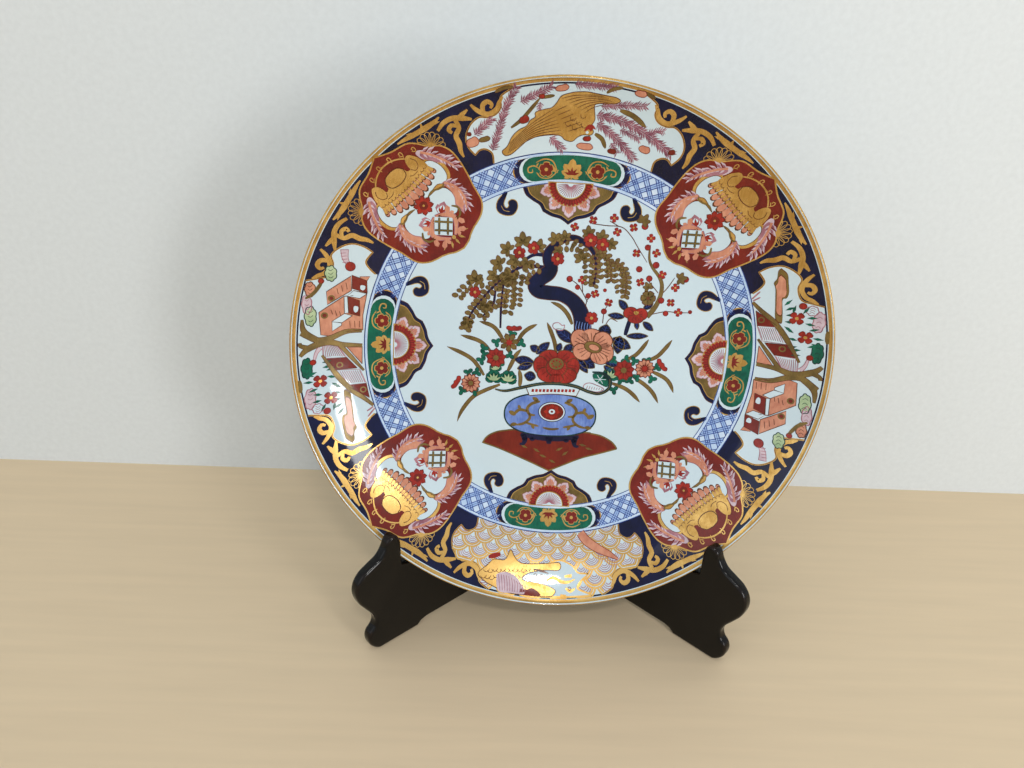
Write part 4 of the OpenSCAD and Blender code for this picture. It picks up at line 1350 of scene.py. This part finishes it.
for side in ("", "x"):
    with placed(at=(-4.2 if side else 0, 0), mirror=side):
        stroke("leaf", [(-9.6, -31.4), (-14.4, -33), (-17.2, -36.4), (-15.6, -40), (-12.2, -40.4)], 1.9, 6, (0.6, 0.5))
        stroke("leaf", [(-25.6, -41), (-22, -37.4), (-17.4, -38)], 1.9, 6, (0.6, 0.7))
        stroke("leaf", [(-23.4, -47.2), (-18.8, -46), (-15.4, -42.6), (-16.2, -39)], 1.7, 6, (0.5, 0.6))
        stroke("leaf", [(-17.6, -45.4), (-13.6, -46.6), (-9.6, -47.4)], 1.5, 6, (0.6, 0.4))
        stamp("leaf", broad_leaf, [(-10.4, -31.4, 150, 4.6), (-24, -41, 150, 5), (-22.8, -46.6, 190, 4.4),
            (-13, -33.4, 60, 3.4), (-21.4, -37.6, 110, 3.6), (-14, -46.4, 300, 3.4)], 7)
stroke("leaf", [(-7, -48.2), (-2, -49), (3, -48.4)], 1.5, 6, (0.4, 0.4))
fill("navy", oval(-2, -37.8, 8.4, 6.5), 6)
fill("white", oval(-2, -37.8, 7.9, 6.0), 7)
fill("red", oval(-2, -37.8, 7.1, 5.3), 8)
stamp("bright", petal, [(-2, -37.8, 45 * k, 5.0) for k in range(8)], 9)
fill("white", oval(-2, -37.6, 1.9, 1.6, 12), 10)
fill("red", oval(-2, -37.6, 0.8, 0.7, 10), 11)
collar = [
    (-18.8, -22.6), (-18.8, -22.6), (-8, -20.4), (4, -20.2), (14.2, -22), (14.2, -22), (12.2, -27), (12.2, -27),
    (-2, -26.4), (-16.4, -28), (-16.4, -28)]
outlined("white", collar, 6)
for k in range(12):
    x = -14.6 + 2.25 * k
    ruled("bright", [(x, -25.6 + 0.1 * k), (x + 0.3, -23.8 + 0.1 * k)], 1.5, 8)
ribbon = [
    (-37.4, -25, 0.9), (-31.2, -25.8, 1.7), (-22, -23.4, 2.0), (-10.3, -20.4, 2.0), (1.3, -19.6, 2.2),
    (11.3, -20.8, 2.2), (19.7, -23.8, 2.0), (26.3, -24.6, 1.8), (31.6, -21, 2.0), (31.8, -15.2, 2.2),
    (27.2, -11.8, 1.7), (20.9, -11.3, 1.0)]
mound = [(16.4, -21.8), (16.6, -19.4), (19.6, -18.2), (24, -19.4), (28.6, -21.6), (25, -23.6), (20, -23)]
outlined("white", mound, 4, "mauve", 0.5)
for k in range(7):
    ruled("mauve", [(18 + k * 1.5, -22.2), (18.6 + k * 1.5, -20 - 0.2 * k)], 0.35, 6)
outlined("green", [(21.6, -12.4), (27, -12.6), (30.8, -16), (30.4, -20), (26.4, -18.6), (22.4, -16)], 4, "pine", 0.4)
for k in range(6):
    ruled("white", [(25.8, -15.6), (25.8 + 3.6 * math.cos(1.05 * k), -15.6 + 3 * math.sin(1.05 * k))], 0.35, 6)
stroke("pine", ribbon, 2, 9)
stroke("leaf", [p[:2] for p in ribbon[:-2]], 0.3, 10)
apron = [(-20.4, -53.2), (-10, -54.8), (-2.6, -55.2), (6, -54.8), (15.6, -53)]
stroke("navy", apron, 3.2, 7, (0.6, 0.6))
for foot in (
        [(-19, -53.4, 3), (-17.6, -56.4, 3.4), (-18.4, -59.2, 2.2), (-20.6, -59.4, 1.2)],
        [(-2.6, -54, 5), (-2.6, -56.6, 3.6), (-2.6, -58.6, 2.6)],
        [(14, -53.4, 3), (13, -56.4, 3.4), (13.8, -59.2, 2.2), (16, -59.4, 1.2)]):
    stroke("navy", foot, 3, 7)
for x in (-17.6, -13, 8, 12.6):
    fill("navy", oval(x, -56, 1.7, 1.2, 10), 7)

# ---------------- grasses and garden flowers
# Long blades of olive gold, tapering to a point, with daisies in red and salmon among
# small emerald leaves.
blades = [
    [(-67.4, 0), (-58, -3.6), (-51, -8), (-44.5, -16.7)], [(-59.5, 7.5), (-50, 5.2), (-45.4, 2.6), (-41, -1.7)],
    [(-48.7, 16.4), (-42, 14.6), (-38, 11.6), (-33.7, 5.4)], [(-14.2, 16.4), (-19, 13.6), (-22.6, 10.2), (-25.6, 5)],
    [(-22.8, 0.8), (-26, -3.4), (-28, -8), (-30.4, -13.6)],
    [(-59.8, -47), (-57, -39.4), (-51, -31), (-44, -26.4), (-34.6, -22)], [(-23.5, -12), (-22.4, -17), (-22.6, -22.6)],
    [(-8.4, 17.8), (-5.4, 11.6), (-3, 5.4), (-2, -0.6)], [(-7, 30.2), (-1.4, 28), (3.4, 23.4), (6.6, 17.4)],
    [(53, 10.6), (49.6, 5), (46, 0.6), (40.6, -2.8)], [(67, 11), (63.4, 5.6), (59, 0.4), (52.6, -3)],
    [(71, -21.8), (68.6, -16.6), (64.6, -12.6), (56.6, -9)], [(62.4, -28.9), (58.6, -22.6), (53.4, -17.8), (45.8, -13)],
    [(51.2, -28.9), (46.4, -24), (41, -20.4), (33, -17.6)]]
for blade in blades:
    stroke("brown", blade, 2.5, 1, (0.1, 0.55))
    stroke("leaf", blade, 1.9, 2, (0.08, 0.5))
sprig_spots = [
    (-44.8, -3.4), (-46.6, -7.4), (-29.6, -3.4), (-35.6, -9.4), (-38, 4.2), (-23, 4.2), (-29, 9.8), (-54, -15.4),
    (-49, -15), (-57.4, -27), (-50, -27.2), (40.4, -2.6), (45.6, -3.2), (53, -2.8), (59.4, -6.4), (57.2, -13.8),
    (48, -13), (43.8, -15.2), (38.6, -15.4), (34.6, -21.8), (33, -3.6), (-45.4, 0), (36.6, -12.8), (30.4, -14.2)]
for k, (x, y) in enumerate(sprig_spots):
    leaf_stamps("green", "pine", [(x, y, 40 * k + a, 2.9) for a in (0, 125, 245)], 3)
for x, y, turn, size in ((-38.6, -17, 90, 7), (-30, -17, 85, 7.4), (31.6, -11.6, 80, 7), (-37.6, -11, 100, 5)):
    leaf_stamps("green", "pine", [(x, y - size * 0.4, turn + a,
        size * (1 - abs(a) / 260)) for a in (-75, 75, -45, 45, -15, 15)], 3)
    stamp("moss", slim_leaf, [(x, y - size * 0.4, turn + a, size * 0.7) for a in (-60, -30, 0, 30, 60)], 5)
for colour, edge, heart, x, y, radius, count in (
        ("bright", "red", "leaf", -37.8, -5.4, 5.6, 9), ("bright", "red", "leaf", 39.7, -9.2, 5.9, 9),
        ("salmon", "red", "leaf", -52.4, -22, 5.4, 12), ("salmon", "red", "bright", 52.2, -7.5, 5.4, 12),
        ("leaf", "brown", "bright", -30.3, 4.4, 5.4, 7)):
    flower(colour, heart, x, y, radius, count, 6, 10, edge=edge)
    stamp("red", slim_leaf, [(x, y, 10 + 360 * (k + 0.5) / count, radius * 0.62) for k in range(count)], 8)
    stamp(heart, round_spot(radius * 0.3), [(x, y, 0, 1)], 9)
for x, y, turn in ((-27.8, 13.3, 2), (-61.2, -22, 60), (62.4, -4.8, -50)):
    with placed(at=(x, y), turn=turn):
        outlined("bright", [(-4.6, 0), (-3.6, 1.4), (-1.4, 0.9), (0, 1.5), (1.6, 0.9), (3.6, 1.4), (4.6, 0), (3, -1.3),
            (0, -1.5), (-3, -1.3)], 4, "red", 0.4)

# ---------------- peonies and their leaves
# A red peony over the bowl and a salmon one behind it, each petal edged by the brush, with
# cobalt leaves veined in pale blue.
cobalt_leaves = [
    ((-13.7, -1.7), (-6.2, 5.8), 5), ((-12, 0), (-17.6, 3), 4.4), ((-15, -7), (-26.8, -5.6), 5.6),
    ((-15.6, -8.2), (-24.6, -11.6), 4.6), ((-13.2, -16.4), (-20.2, -15.2), 6), ((11.3, -1.4), (22, -8.6), 7.4),
    ((10.6, -3), (18, -12), 4.6), ((3, -0.8), (7.4, 5.6), 4.8), ((-1.2, 0.4), (0.6, 5.6), 3.8),
    ((8.6, 6.6), (-3, 14), 6.4), ((25.4, 10.6), (27.4, 18.4), 7.4), ((31, 10), (42.6, 4.6), 6.6),
    ((35.6, 11.8), (35, 0.8), 6.6), ((39.4, 12), (52.4, 12.6), 3.6), ((37.2, 23.4), (27.4, 24.2), 3.8),
    ((38.8, 27.4), (33.2, 33.6), 4.2), ((48, 29), (53.4, 32), 3.4), ((48.6, 21), (55, 16), 3.8),
    ((44.4, 21.4), (45.6, 16.2), 2.8), ((28, -5), (37, -5.6), 4.6), ((27.6, -7), (33, -10.6), 3.6)]
stroke("navy", [(40.8, 22.4), (39.6, 17.4), (38.6, 12.4)], 2.6, 2, (0.8, 0.6))
for base, tip, wide in cobalt_leaves:
    run = complex(*tip) - complex(*base)
    with placed(at=base, turn=math.degrees(cmath.phase(run))):
        long = abs(run)
        shape = [
            (0, 0), (long * 0.25, wide * 0.42), (long * 0.6, wide * 0.5), (long * 0.9, wide * 0.2), (long, 0),
            (long, 0), (long * 0.9, -wide * 0.2), (long * 0.6, -wide * 0.5), (long * 0.25, -wide * 0.42)]
        outlined("navy", shape, 3, "leaf", 0.4)
        ruled("blue", [(0.6, 0), (long * 0.85, 0)], 0.2, 5)
        for share in (0.3, 0.5, 0.7):
            for way in (1, -1):
                ruled("blue", [(long * share, 0), (long * (share + 0.14), way * wide * 0.3)], 0.18, 5)
outlined("white", [(-4.4, 14.6), (-4.6, 17.2), (-1.6, 18), (0.6, 16.4), (2, 16.8), (1.6, 14),
    (-1, 13.4)], 4, "mauve", 0.5)


def peony(colour, deep, heart, petals, layer):
    """A full flower from its petals, back to front: (x, y, half width, half height, turn)."""
    for k, (x, y, wide, high, turn) in enumerate(petals):
        shape = oval(x, y, wide, high, 16, turn)
        fill("brown", shape, layer + 2 * (k // 2))
        with placed(about=(x, y), size=0.9):
            fill(colour, shape, layer + 2 * (k // 2) + 1)
    top = layer + len(petals) + 1
    hx, hy = heart
    for x, y, wide, high, turn in petals:
        for across in (-0.4, 0, 0.4):
            dx, dy = x - hx, y - hy
            far = math.hypot(dx, dy) or 1
            ruled(deep, [(hx + dx * 0.45 - dy / far * across * 3, hy + dy * 0.45 + dx / far * across * 3),
                          (hx + dx * 1.25 - dy / far * across * wide, hy + dy * 1.25 + dx / far * across * wide)],
                   0.4, top, (0.4, 1))
    return top + 1


top = peony("salmon", "brown", (19.6, 4.4), [
    (11.8, 8.4, 5.6, 6.8, 20), (18.6, 11.0, 6.6, 4.6, 0), (25.6, 8.4, 6.2, 5.6, -30), (28, 1.4, 4.8, 6.2, 10),
    (24, -2.4, 5.6, 3.8, -20), (13.6, 1.0, 6.0, 5.2, -30)], 6)
outlined("leaf", oval(20, 4.2, 5.4, 3.4, 18, -15), top, "brown", 0.4)
outlined("salmon", oval(20.6, 4.0, 3.2, 1.8, 14, -15), top + 2, "brown", 0.3)
top = peony("bright", "red", (-1.2, -7.6), [
    (-6.4, -3.4, 6.4, 4.6, 20), (4.8, -3.6, 6.8, 5.0, -20), (-10.6, -8.8, 4.6, 6.0, 10), (8.6, -9.4, 4.4, 6.4, -10),
    (-5.8, -14.2, 7.0, 5.0, -10), (5.0, -14.4, 6.8, 5.0, 10), (-0.6, -16.0, 4.4, 3.0, 0), (-1, -9.4, 6.6, 6.0, 0)], 7)
outlined("leaf", oval(-1.2, -7.2, 4.6, 3.8, 18), top, "red", 0.5)
stamp("bright", round_spot(0.6, 8), [(-1.2 + 2.6 * math.cos(a), -7.2 + 2.1 * math.sin(a), 0,
    1) for a in np.linspace(0, 5.5, 8)], top + 2)
top = peony("bright", "red", (44, 25), [(40.6, 26.2, 4.4, 3.6, 10), (46.9, 25.6, 4.2, 3.8, -10),
                                        (43.9, 22.6, 4.8, 2.8, 0)], 6)
stamp("gold", petal, [(44, 25, a, 2.6) for a in (60, 90, 120)], top)

# ---------------- the old trunk and its leaves
# A twisting cobalt trunk edged in brown, from which fine branches hang, thick with small
# olive-gold leaves and a few red flowers.
trunk = [
    (13.2, 13.4, 10.0), (12.6, 18, 9.2), (10.8, 25, 8.8), (6, 31.4, 8.0), (-1.2, 35.0, 7.6), (-8.7, 35.6, 7.8),
    (-14.6, 36.4, 7.8), (-16.6, 39.8, 8.6), (-14.2, 43.6, 8.2), (-9.8, 47.2, 8.6), (-8.2, 50.6, 7.4),
    (-10.6, 55.4, 4.8), (-10, 60, 4.2), (-5, 65.2, 3.4), (3.4, 68.4, 2.8), (10.4, 65.8, 2.8), (15.4, 61.4, 2.0),
    (17.6, 55.8, 1.5), (18.2, 49.2, 1.3), (17.4, 40.4, 0.8)]
stroke("brown", wider(trunk, 1.0), 1, 4)
stroke("navy", trunk, 1, 5)
for k in range(6):
    stroke("peri", [(9.4 + 1.6 * k, 19.6 - 0.3 * k), (8.8 + 1.7 * k, 15.4), (9.8 + 1.6 * k, 13.2)], 0.35, 6)
branches = {
    "willow_a": [(14.7, 63.3, 2.2), (20.5, 60.8, 2.2), (24.7, 57.5, 1.8), (26.8, 51.7, 1.4), (27.6, 45.4, 0.8)],
    "willow_b": [(26.4, 55.6, 1.2), (32.2, 53.8, 1.8), (35.4, 49.2, 1.4), (36.8, 42.5, 1.1), (36.3, 34.6, 0.7)],
    "left_a": [(-12.4, 57.5, 1.8), (-17.8, 57.6, 1.6), (-22, 55.4, 1.4), (-26, 51.2, 0.9)],
    "left_b": [(-12.4, 50.4, 1.9), (-22, 50.8, 1.6), (-28.7, 48.3, 1.4), (-36.2, 42.5, 1.3), (-42.8, 35.8, 1.3),
               (-49.5, 27.5, 1.2), (-53.7, 20.8, 1.0), (-57, 12.2, 0.5)],
    "left_c": [(-40, 36, 0.9), (-40.8, 27.5, 1.0), (-44, 23.4, 0.9), (-47.2, 18.8, 0.5)],
    "left_d": [(-35.4, 40, 0.9), (-36.2, 26.7, 1.0), (-36, 13, 0.7)]}
for name, line in branches.items():
    stroke("brown", wider(line, 0.5), 1, 2)
    stroke("navy" if name[:4] == "left" else "leaf", line, 1, 3)
for line, spacing, size, lean_way, start in (
        (branches["willow_a"], 2.9, 2.7, 60, 4), (branches["willow_b"], 2.7, 2.6, 60, 3),
        ([(16.6, 59), (17.6, 55.8), (18.2, 49.2), (17.4, 40.4)], 2.9, 2.6, 58, 0),
        ([(4, 65), (9.6, 61.6), (12.6, 56), (13.8, 49.6), (14.2, 43)], 3.2, 2.7, 62, 0),
        ([(-3.4, 63.4), (1.6, 63.6), (5.6, 62.4)], 3.2, 2.8, 70, 0),
        ([(21.4, 58), (22.6, 52), (23.4, 46)], 3.4, 2.6, 62, 0), ([(31, 52), (32.2, 45.6), (33, 39)], 3.2, 2.5, 62, 0),
        (branches["left_b"][2:], 3.1, 3.2, 62, 0), (branches["left_c"][1:], 3.1, 2.9, 62, 0),
        (branches["left_d"][:2], 3.2, 3.0, 62, 0), ([(-30.8, 46), (-31, 38), (-31.4, 30), (-31.8, 23.6)], 3.2, 3.0, 62,
        0), ([(-26.6, 44), (-26.8, 38), (-26.8, 31), (-27, 27.4)], 3.2, 2.7, 65, 0),
        ([(-15, 50), (-20, 48), (-23, 44), (-23.4, 39.6)], 3.2, 2.8, 65, 0),
        ([(-47.6, 40), (-54, 38.4), (-60, 33.4), (-62, 30)], 3.4, 3.0, 60, 0)):
    leafy(line, spacing, size, lean_way, 6, start)
for x, y, turn, size in (
        (-25.3, 64, 95, 7.2), (-33.6, 59.6, 150, 6), (-16.2, 61.6, 75, 6), (-38, 51, 165, 6.6), (-52.4, 40.6, 95, 7),
        (-6.4, 66.6, 120, 5.6), (-1, 68, 100, 5), (12.4, 71, 95, 5.4), (20, 69, 80, 5.6), (25.4, 65.6, 20, 5),
        (9.4, 56.6, 100, 6.4), (-4, 60.6, 200, 4.4), (-22, 53, 250, 6.4), (-28.6, 53.6, 200, 6.6),
        (-45, 26.6, 270, 6.4), (-55.6, 15.6, 250, 5.4), (-32.6, 44, 230, 7), (-40.6, 44.4, 210, 6), (43, 79.6, 60, 5.4),
        (67.6, 47.8, 10, 5), (49.8, 41.6, 120, 4)):
    leaf_stamps("leaf", "brown", [(x, y, turn + a,
        size * (0.88 - abs(a) / 520)) for a in (-112, 112, -56, 56, 0)], 6, broad_leaf)
flower("leaf", "brown", 50.2, 35.4, 4.2, 6, 6, 0, edge="brown")
for x, y, radius in (
        (-27, 58.3, 3.9), (-19, 61.3, 3.9), (-52, 33.8, 3.8), (-4.5, 55.8, 4.2), (13.8, 67.4, 4.4), (20.8, 65.4, 4.2),
        (17.8, 21.8, 4.2)):
    flower("bright", "gold", x, y, radius * 0.86, 5, 8, x * 7, edge="red")

# ---------------- the plum branch
# A fine olive plum branch on the right, outlined in brown, with thin twigs, small red
# blossoms of four petals and round buds, all brushed freely over the glaze.
plum = [
    (50.5, 24.2, 2.8), (54.7, 30, 2.6), (57.2, 36.7, 2.2), (57.6, 43.3, 2.0), (55.5, 48.3, 1.7), (51.3, 53.3, 1.4),
    (48.8, 58.3, 1.1), (48.4, 66.5, 0.6)]
stroke("brown", wider(plum, 0.4), 1, 1)
stroke("leaf", plum, 1, 2)
for twig in (
        [(55.8, 38.8), (52.4, 42.4), (49.4, 45.6)], [(58, 38.3), (61.3, 42.5), (64.7, 48.3)],
        [(53, 25.8), (61.3, 27.9), (68, 27.7), (75.5, 27.9)],
        [(13.8, 77), (22.2, 76.3), (31.3, 75.8), (37.2, 70.8), (41.3, 65), (47.6, 56.4)], [(24, 79), (30, 75.9)],
        [(14.6, 31.4), (11.6, 36.4), (8, 41.4), (3.4, 44.4)], [(11.4, 37), (10.6, 42.6)],
        [(13.8, 28), (14.4, 32.4), (17.4, 36)], [(24.6, 19), (25, 26), (27, 30.6)],
        [(26.4, 18), (29, 22), (33.4, 20.4)]):
    stroke("brown", twig, 0.55, 1, (1, 0.6))
blossoms = [
    (26.4, 80.8), (14.4, 79), (4, 74.6), (28.8, 73), (38, 76), (48.6, 70.4), (41, 61.4), (52.6, 62), (57.2, 49.6),
    (44.7, 44.6), (65.6, 42.4), (63.8, 33.4), (68.8, 27.8), (27.2, 31.6), (18.8, 36.4), (10.6, 44.2)]
for k, (x, y) in enumerate(blossoms):
    flower("bright", "gold", x, y, 2.35, 4, 3, 37 * k, edge="red")
buds = [
    (44.4, 77, 1.8), (47.2, 65, 1.6), (53, 55, 1.8), (43.4, 52.2, 1.7), (49.8, 47, 1.7), (71.2, 47.6, 1.7),
    (58, 34.4, 1.7), (61.4, 26.8, 1.5), (75.8, 28.4, 1.1), (24.4, 38.8, 1.0), (14.8, 35, 1.5), (8.2, 39.8, 1.4),
    (3.2, 44.4, 1.7), (24.8, 26.2, 1.6)]
stamp("red", round_spot(1.15), [(x, y, 0, s) for x, y, s in buds], 3)
stamp("bright", round_spot(0.85), [(x, y, 0, s) for x, y, s in buds], 4)
fire("middle")

# ---------------- lacquered stand boards
# Two shaped boards of close-grained wood, fretsawn with their notches, rounded over and
# finished in black lacquer, worn a little brown along the edges; the hinges join their backs.
board_thick = 7.5
round_over = 2.2
round_steps = 6
notch_height = 59.0
notch_front, notch_slope, notch_from = 120.5, 0.74, 100
square_back, square_top = 5, 182
half_angle = math.radians(47)
hinge_line_y = -39.8 + 90.7
hinge_gap, hinge_side = 3.1, 0.2
shape = [
    (0, 170), (0, 178), (0, 182), (1.5, 188.5), (7, 193.5), (14.5, 195), (21.5, 192), (26, 186), (27.5, 178), (30, 168),
    (34.5, 150), (39.5, 130), (43.5, 112), (47.5, 98), (53, 86), (61, 75), (71, 66.5), (82, 61), (94, 58.2),
    (106, 57.6), (114, 57.9), (119, 58.6), (120.5, 60), (120.6, 64), (120.6, 70), (120.9, 76), (123.1, 80.6),
    (126.4, 82.2), (130, 79.8), (132.4, 74.6), (136.2, 69.8), (142, 66.8), (148.3, 63.3), (152.6, 57.8), (153.8, 51),
    (151.8, 43.5), (147.5, 36.5), (143.2, 30), (141.4, 24), (142.6, 19.5), (145.8, 16.2), (147.2, 12), (146.2, 6.5),
    (143, 2.2), (139.5, 0), (136, 0), (130, 0)]
sole = [(110, 0), (107, 2.6), (103, 3.6), (34, 3.6), (30, 2.6), (27, 0), (0, 0)]


def board_rings():
    """The board's outline, level by level from one face to the other, rounded over except where the hinges sit."""
    line = [complex(max(0.0, q.real), max(0.0, q.imag)) for q in curved(shape, False, 1.4)[4:]]
    line += [complex(*q) for q in sole]
    line += [complex(0, z) for z in np.arange(12, 168, 12)]
    ring = np.array([q for k, q in enumerate(line) if abs(q - line[k - 1]) > 0.05])
    ahead = np.roll(ring, -1) - ring
    ahead /= abs(ahead)
    behind = np.roll(ahead, 1)
    bisector = (ahead + behind) / np.maximum(abs(ahead + behind), 0.2)
    miter = bisector * 1j / np.maximum((bisector.conjugate() * ahead).real, 0.6)
    if (ring.real * np.roll(ring.imag, -1) - ring.imag * np.roll(ring.real, -1)).sum() < 0:
        miter = -miter
    soft = np.clip(np.maximum((ring.real - square_back) / 4, (ring.imag - square_top) / 6), 0, 1)
    rings = []
    for k in range(round_steps + 1):
        a = math.pi / 2 * k / round_steps
        rings.append((round_over * (1 - math.sin(a)), round_over * (1 - math.cos(a))))
    levels = [(depth, out) for out, depth in rings] + [(board_thick - depth, out) for out, depth in rings[::-1]]
    made = []
    for depth, out in levels:
        at = ring + miter * out * soft
        wall = notch_front + notch_slope * depth
        lug = (at.real > notch_from) & (at.real < wall) & (at.imag > notch_height - 0.8)
        at = np.where(lug & (at.imag > notch_height + 1.2), wall + 1j * at.imag, at)
        at = np.where(lug & (at.imag <= notch_height + 1.2) & (at.real > 116),
            np.minimum(at.real, wall) + 1j * np.minimum(at.imag, notch_height - 0.2), at)
        made.append((depth, at))
    return made


def lacquer_material():
    """Black lacquer: deep gloss, fine settled dust, brown wood showing faintly along worn edges."""
    made, tree, shader, _ = new_material("black_lacquer")
    edge = ranged(tree, add(tree, "ShaderNodeNewGeometry").outputs["Pointiness"], 0.52, 0.60)
    wear = sum_up(tree, "MULTIPLY", edge, grained(tree, 160.0, 4.0))
    grain = grained(tree, 700.0, 5.0, (1.0, 1.0, 0.05))
    mix = add(tree, "ShaderNodeMix", {"Factor": wear}, data_type="RGBA")
    mix.inputs["B"].default_value = paint(86, 52, 34)
    tree.links.new(two_tone(tree, grain, (4, 4, 4), (11, 9, 8)), mix.inputs["A"])
    tree.links.new(mix.outputs["Result"], shader.inputs["Base Color"])
    tree.links.new(ranged(tree, grained(tree, 2200.0, 2.0), 0.4, 0.75, 0.1, 0.24), shader.inputs["Roughness"])
    bump = add(tree, "ShaderNodeBump", {"Height": grain, "Strength": 0.12, "Distance": 0.0003})
    tree.links.new(bump.outputs["Normal"], shader.inputs["Normal"])
    shader.inputs["Specular IOR Level"].default_value = 0.26
    return made


lacquer = lacquer_material()
for name, body, way in (("right_board", "right_half", 1), ("left_board", "left_half", -1)):
    rings = board_rings()
    n = len(rings[0][1])
    points = []
    for depth, at in rings:
        for q in at:
            s, o = q.real + hinge_gap, depth + hinge_side
            points.append((way * (s * math.sin(half_angle) + o * math.cos(half_angle)) * MM,
                           (hinge_line_y - s * math.cos(half_angle) + o * math.sin(half_angle)) * MM, q.imag * MM))
    faces = [(k * n + i, k * n + (i + 1) % n, (k + 1) * n + (i + 1) % n, (k + 1) * n + i)
             for k in range(len(rings) - 1) for i in range(n)]
    faces += [tuple(range(n))[::-1], tuple(range((len(rings) - 1) * n, len(rings) * n))]
    board = plain_object("lacquer_" + name, points, faces, smooth=True)
    work = bmesh.new()
    work.from_mesh(board.data)
    bmesh.ops.remove_doubles(work, verts=work.verts, dist=0.00001)
    bmesh.ops.triangulate(work, faces=[f for f in work.faces if len(f.verts) > 4])
    bmesh.ops.recalc_face_normals(work, faces=work.faces)
    work.to_mesh(board.data)
    work.free()
    board.data.set_sharp_from_angle(angle=math.radians(40))
    board.data.materials.append(lacquer)
    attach(board, body)
    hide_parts(name)

# ---------------- brass hinges and screws
# Two small butt hinges of drawn brass with turned pins, each held by four countersunk
# screws. The metal is brushed, and dulled to brown in patches.


def brass_material(name, light, dark, rough):
    """Brushed brass, a little tarnished."""
    made, tree, shader, _ = new_material(name)
    lines = grained(tree, 3600.0, 3.0, (1.0, 1.0, 0.04))
    dull = ranged(tree, grained(tree, 420.0, 4.0), 0.38, 0.66)
    tree.links.new(two_tone(tree, dull, light, dark), shader.inputs["Base Color"])
    tree.links.new(ranged(tree, lines, 0.0, 1.0, rough, rough + 0.2), shader.inputs["Roughness"])
    bump = add(tree, "ShaderNodeBump", {"Height": lines, "Strength": 0.2, "Distance": 0.0001})
    tree.links.new(bump.outputs["Normal"], shader.inputs["Normal"])
    shader.inputs["Metallic"].default_value = 1.0
    return made


leaf_brass = brass_material("hinge_brass", (190, 150, 86), (156, 118, 62), 0.26)
pin_brass = brass_material("pin_brass", (206, 166, 96), (156, 116, 62), 0.18)
screw_brass = brass_material("screw_brass", (202, 160, 90), (132, 96, 52), 0.22)
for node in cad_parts.values():
    if not node.hide_render:
        metal = screw_brass if "screw" in node.name else pin_brass if "pin" in node.name else leaf_brass
        node.data.materials.clear()
        node.data.materials.append(metal)

low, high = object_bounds()
